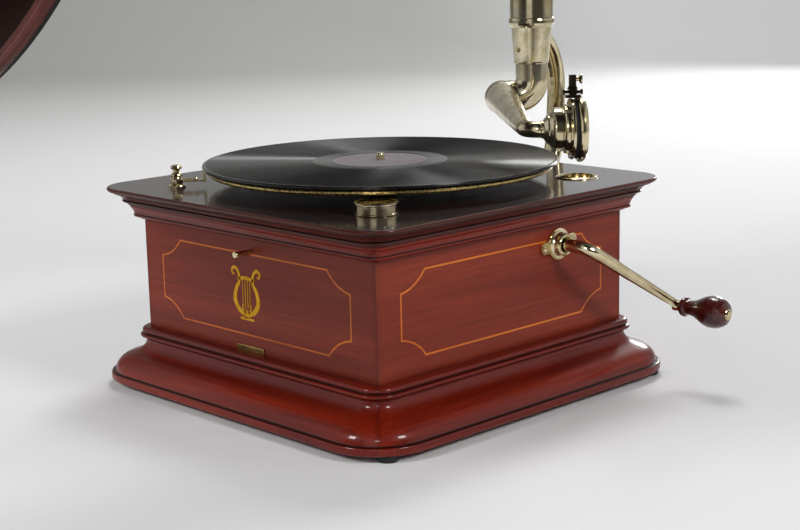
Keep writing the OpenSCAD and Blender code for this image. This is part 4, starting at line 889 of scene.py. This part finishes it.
# (y, z) in mm, from the socket down to the back of the case
spine = bent([(204, 285), (222, 273), (231, 247), (228, 217)], 16)
spine += bent([(228, 217), (225, 187), (236, 134), (147, 116)], 24)[1:]
start = bpy.data.meshes.new("goose_neck")
start.from_pydata([(0, y / 1000, z / 1000) for y, z in spine],
                  [(k, k + 1) for k in range(len(spine) - 1)], [])
neck = grow("goose_neck", start, neck_tree, {
    "Half width": 0.0099, "Depth to width": 0.58, "Finish": nickel_ring}, sharp=50)
settle(neck, "case", "nickel")

# %% [markdown]
# ## Tone arm
# The arm is a long taper, which a plater polishes until the whole length carries one highlight.
# The solid's cone is cut in short rings, and plate that bright shows each of them, so the taper
# gets a turned skin of its own, four hundredths of a millimetre proud, with closed ends.

# %% Taper of the tone arm
# at rest the arm is turned and dips by these degrees, and its line starts this far aside of
# the pivot and above the floor, in mm
arm_turn = 48.3
arm_dip = 2.6
arm_aside = 28
arm_high = 226
# radius at the thick end, loss of radius for each mm, and where the taper begins
thick_end = 14.62
taper = 0.0484
first = 9.0
section = [(9.5, first)]
section += [(thick_end - taper * way, first + way) for way in (0, 30, 100, 161.8)]
section += [(6.2, 170.8), (5.5, 150)]
arm_place = (Matrix.Translation((0, PIVOT_Y / 1000, 0))
             @ Matrix.Rotation(math.radians(arm_turn - 90), 4, "Z")
             @ Matrix.Translation((0, -arm_aside / 1000, arm_high / 1000))
             @ Matrix.Rotation(math.radians(90 + arm_dip), 4, "Y"))
skin = round_case("arm_taper", section, 0, 10, nickel_satin, steps=24, place=arm_place)
settle(skin, "arm", "nickel")

# %% [markdown]
# ## Gilt motif
# A transfer in gold leaf sits on the front between the stringing lines. It is a plain lyre, the
# common sign for music. Transfers are thin: each stroke is a ribbon a quarter of a millimetre
# thick whose width swells and tapers as a brush stroke does.

# %% Brush strokes
def stroke(points, widths, steps, front):
    """A flat ribbon along smooth points (x, z) in mm. front is the y of its back and face."""
    pts = [Vector(p) for p in points]
    rich, wide = [], []
    for i in range(len(pts) - 1):
        p0, p1 = pts[max(i - 1, 0)], pts[i]
        p2, p3 = pts[i + 1], pts[min(i + 2, len(pts) - 1)]
        for k in range(steps):
            t = k / steps
            rich.append(0.5 * (2 * p1 + (p2 - p0) * t + (2 * p0 - 5 * p1 + 4 * p2 - p3) * t * t
                               + (3 * p1 - p0 - 3 * p2 + p3) * t ** 3))
            wide.append(widths[i] + (widths[i + 1] - widths[i]) * t)
    rich.append(pts[-1])
    wide.append(widths[-1])
    verts, faces = [], []
    for i, (p, w) in enumerate(zip(rich, wide)):
        d = (rich[min(i + 1, len(rich) - 1)] - rich[max(i - 1, 0)]).normalized()
        n = Vector((-d.y, d.x)) * w / 2
        a, b = front
        for q, y in ((p + n, a), (p - n, a), (p - n, b), (p + n, b)):
            verts.append((q.x, y, q.y))
        if i:
            k = 4 * i
            faces += [(k - 4 + m, k - 4 + (m + 1) % 4, k + (m + 1) % 4, k + m)
                      for m in range(4)]
    k = 4 * (len(rich) - 1)
    return verts, faces + [(3, 2, 1, 0), (k, k + 1, k + 2, k + 3)]


def ribbons(name, strokes, steps, front, finish):
    """One mesh of many strokes, each a pair of points and widths."""
    verts, faces = [], []
    for points, widths in strokes:
        v, f = stroke(points, widths, steps, front)
        faces += [tuple(len(verts) + k for k in face) for face in f]
        verts += v
    return plain_mesh(name, verts, faces, finish)


print("a straight stroke has", len(stroke([(0, 0), (1, 0)], [1, 1], 8, (0, 1))[1]), "faces")

# %% Border of the bare plate
plate_x, plate_z = -4.5, 52.0
plate_wide, plate_high = 32.3, 3.9
ends = [(plate_x + sx * plate_wide / 2, plate_z + sz * plate_high / 2)
        for sx, sz in ((-1, -1), (1, -1), (1, 1), (-1, 1))]
sides = [([ends[k - 1], ends[k]], [0.7, 0.7]) for k in range(4)]
border = ribbons("plate_border", sides, 2, (-CASE_HALF - 0.6, -CASE_HALF - 0.95), brass)
settle(border, "case", "brass")

# %% Gilt lyre
lyre_x, lyre_z = -8, 75
strokes = []
# each arm with its scroll, and the leaf at its foot, on both sides of the middle
for s in (-1, 1):
    arm = [(2, 5), (9, 7.5), (14.5, 15), (13, 24), (8.6, 31), (9.2, 38), (13.6, 42),
           (17.4, 40), (16.6, 36.6), (14, 37.4)]
    strokes.append(([(s * x, z) for x, z in arm],
                    [3.6, 4.2, 4.8, 4.0, 2.8, 2.4, 2.6, 2.4, 1.8, 1.0]))
    strokes.append(([(s * 2.2, 5.5), (s * 5.4, 10.4), (s * 4.6, 12.4), (s * 2.6, 11.6)],
                    [1.8, 1.6, 1.3, 0.8]))
# four strings, then the yoke, the foot and the stem
for x in (-4.5, -1.5, 1.5, 4.5):
    strokes.append(([(x, 9.5 if abs(x) < 2 else 11.5), (x, 33.5)], [0.8, 0.8]))
strokes.append(([(-10.6, 33.2), (0, 34.6), (10.6, 33.2)], [2.0, 3.2, 2.0]))
strokes.append(([(-8.6, 0.9), (0, 1.3), (8.6, 0.9)], [1.8, 2.6, 1.8]))
strokes.append(([(0, 1.6), (0, 8.6)], [6.4, 2.2]))
placed = [([(lyre_x + x, lyre_z + z) for x, z in points], widths) for points, widths in strokes]
lyre = ribbons("gilt_lyre", placed, 8, (-CASE_HALF, -CASE_HALF - 0.25), gilt)
settle(lyre, "case", "stringing")

# %% [markdown]
# ## Floor, backdrop and light
# The photograph is a studio picture: a white cloth that curves up into a wall. Large polished
# surfaces show what stands round them, so the light is five soft area lamps. One box stands on
# the right of the case and one before it on the left, for the long highlights on the plinth.
# One lamp hangs above and behind the deck, one lights the wall, and one stands low behind on
# the right, which draws the fans of light on the record. A weak glow by the camera lifts the
# small fittings. The room itself is dim, with a dark floor where the cloth ends in front.

# %% Backdrop
def sweep_backdrop(width, front, back, radius, top):
    """A pale floor that curves up into a wall behind the object, seen from the camera."""
    arc = [(back - radius + radius * math.sin(a), radius - radius * math.cos(a))
           for a in (i * math.pi / 2 / 16 for i in range(17))]
    path = [(front, 0.0)] + arc + [(back, top)]
    mesh = bpy.data.meshes.new("backdrop")
    verts = [(x, y, z) for y, z in path for x in (-width / 2, width / 2)]
    faces = [(2 * i, 2 * i + 1, 2 * i + 3, 2 * i + 2) for i in range(len(path) - 1)]
    mesh.from_pydata(verts, [], faces)
    for face in mesh.polygons:
        face.use_smooth = True
    obj = put("backdrop", mesh)
    obj.rotation_euler = (0, 0, math.radians(46))
    return obj


backdrop = sweep_backdrop(12.0, -4.5, 4.3, 1.2, 4.0)
print("backdrop faces:", len(backdrop.data.polygons))

# %% Cloth
# matt, with slack folds, so that the floor has soft shadows and no gloss of its own
cloth, tree, bsdf = new_finish("white cloth", Roughness=0.9, Specular_IOR_Level=0.2)
place = add(tree, "ShaderNodeTexCoord").outputs["Object"]
weave = add(tree, NOISE, Vector=place, Scale=5.0, Detail=4.0)
folds = add(tree, "ShaderNodeBump", Strength=0.25, Distance=0.02, Height=weave)
plug(tree, bsdf, Normal=folds)
# in the backdrop's own axes x runs to the camera's right and y away from it, in metres;
# the cloth is painted pale on the right and grey behind on the left: painted shade for the light
# that falls off there
where = add(tree, "ShaderNodeSeparateXYZ", Vector=place).outputs
far = add(tree, *SOFT_STEP, Value=where["Y"], From_Min=1.0, From_Max=3.2)
left = add(tree, *SOFT_STEP, Value=where["X"], From_Min=0.75, From_Max=0.0)
painted_falloff = add(tree, *TIMES, far, left)
pale = add(tree, RAMP, {"stops": [(0.0, "#e4e4e5"), (1.0, "#c9c9c6")]}, Fac=painted_falloff)
# in front the cloth ends, apart from a fold on the left, and the floor of the room is dark
near = add(tree, *SOFT_STEP, Value=where["Y"], From_Min=-0.8, From_Max=-1.3)
fold = add(tree, *PLUS, where["X"], 0.35)
fold = add(tree, *UNSIGNED, fold)
open_floor = add(tree, "ShaderNodeMapRange", Value=fold, From_Min=0.18, From_Max=0.24)
dim = add(tree, *TIMES, near, open_floor)
dim = add(tree, RAMP, {"stops": [(0.0, 1.0), (1.0, 0.22)]}, Fac=dim)
cloth_tone = add(tree, *TINT, 1.0, i6=pale, i7=dim)
plug(tree, bsdf, Base_Color=cloth_tone.outputs[2])
backdrop.data.materials.append(cloth)
print("cloth of", len(tree.nodes), "nodes")

# %% Lamps
def lamp(name, place, target, wide, high, watts):
    """A soft rectangular lamp that faces a point, sizes in metres."""
    data = bpy.data.lights.new(name, "AREA")
    data.shape = "RECTANGLE"
    data.size = wide
    data.size_y = high
    data.energy = watts
    obj = bpy.data.objects.new(name, data)
    obj.location = place
    obj.rotation_euler = (Vector(target) - Vector(place)).to_track_quat("-Z", "Y").to_euler()
    bpy.context.scene.collection.objects.link(obj)


lamp("back light", (-0.7, 1.1, 2.5), (-0.1, 0.3, 0.0), 0.8, 0.6, 23)
lamp("wall light", (-0.9, 1.95, 2.4), (-1.9, 2.95, 0.0), 1.6, 1.0, 27)
lamp("low light", (-1.08, 2.84, 0.9), (0, 0, 0.17), 0.5, 0.5, 17)
lamp("right box", (2.1, 0.1, 1.5), (0, 0, 0.12), 0.55, 0.55, 25)
lamp("left box", (-0.4, -2.2, 1.5), (0, 0, 0.12), 0.55, 0.55, 29)
lamp("camera glow", (1.35, -1.5, 0.95), (0, 0, 0.1), 0.3, 0.3, 3)
print("lamps:", len(bpy.data.lights))

# %% Room
# a dim room with pale panels on stands: plate shows them as its upright stripes
world = bpy.data.worlds.new("studio")
bpy.context.scene.world = world
world.use_nodes = True
sky = world.node_tree
way = add(sky, "ShaderNodeTexCoord").outputs["Generated"]
way = add(sky, "ShaderNodeSeparateXYZ", Vector=way).outputs
turned = add(sky, MATH, {"operation": "ARCTAN2"}, way["Y"], way["X"])
turned = add(sky, *TIMES, turned, 1 / math.tau)
# the seam of the full turn is moved behind the camera
turned = add(sky, *PLUS, turned, 0.622)
turned = add(sky, MATH, {"operation": "FRACT"}, turned)
panels = add(sky, RAMP, {"stops": [
    (0.0, 0.5), (0.2, 0.6), (0.27, 0.5), (0.31, 0.12), (0.4, 0.07), (0.425, 0.75),
    (0.48, 0.75), (0.505, 0.05), (0.65, 0.05), (0.7, 0.55), (0.83, 0.65), (1.0, 0.5)]},
    Fac=turned)
ceiling = add(sky, RAMP, {"stops": [(0.45, 1.0), (0.8, 0.2)]}, Fac=way["Z"])
room = add(sky, *TINT, 1.0, i6=panels, i7=ceiling)
plug(sky, sky.nodes["Background"], room.outputs[2], 1.0)
bpy.context.scene.view_settings.view_transform = "Standard"
print("room of", len(sky.nodes), "nodes")
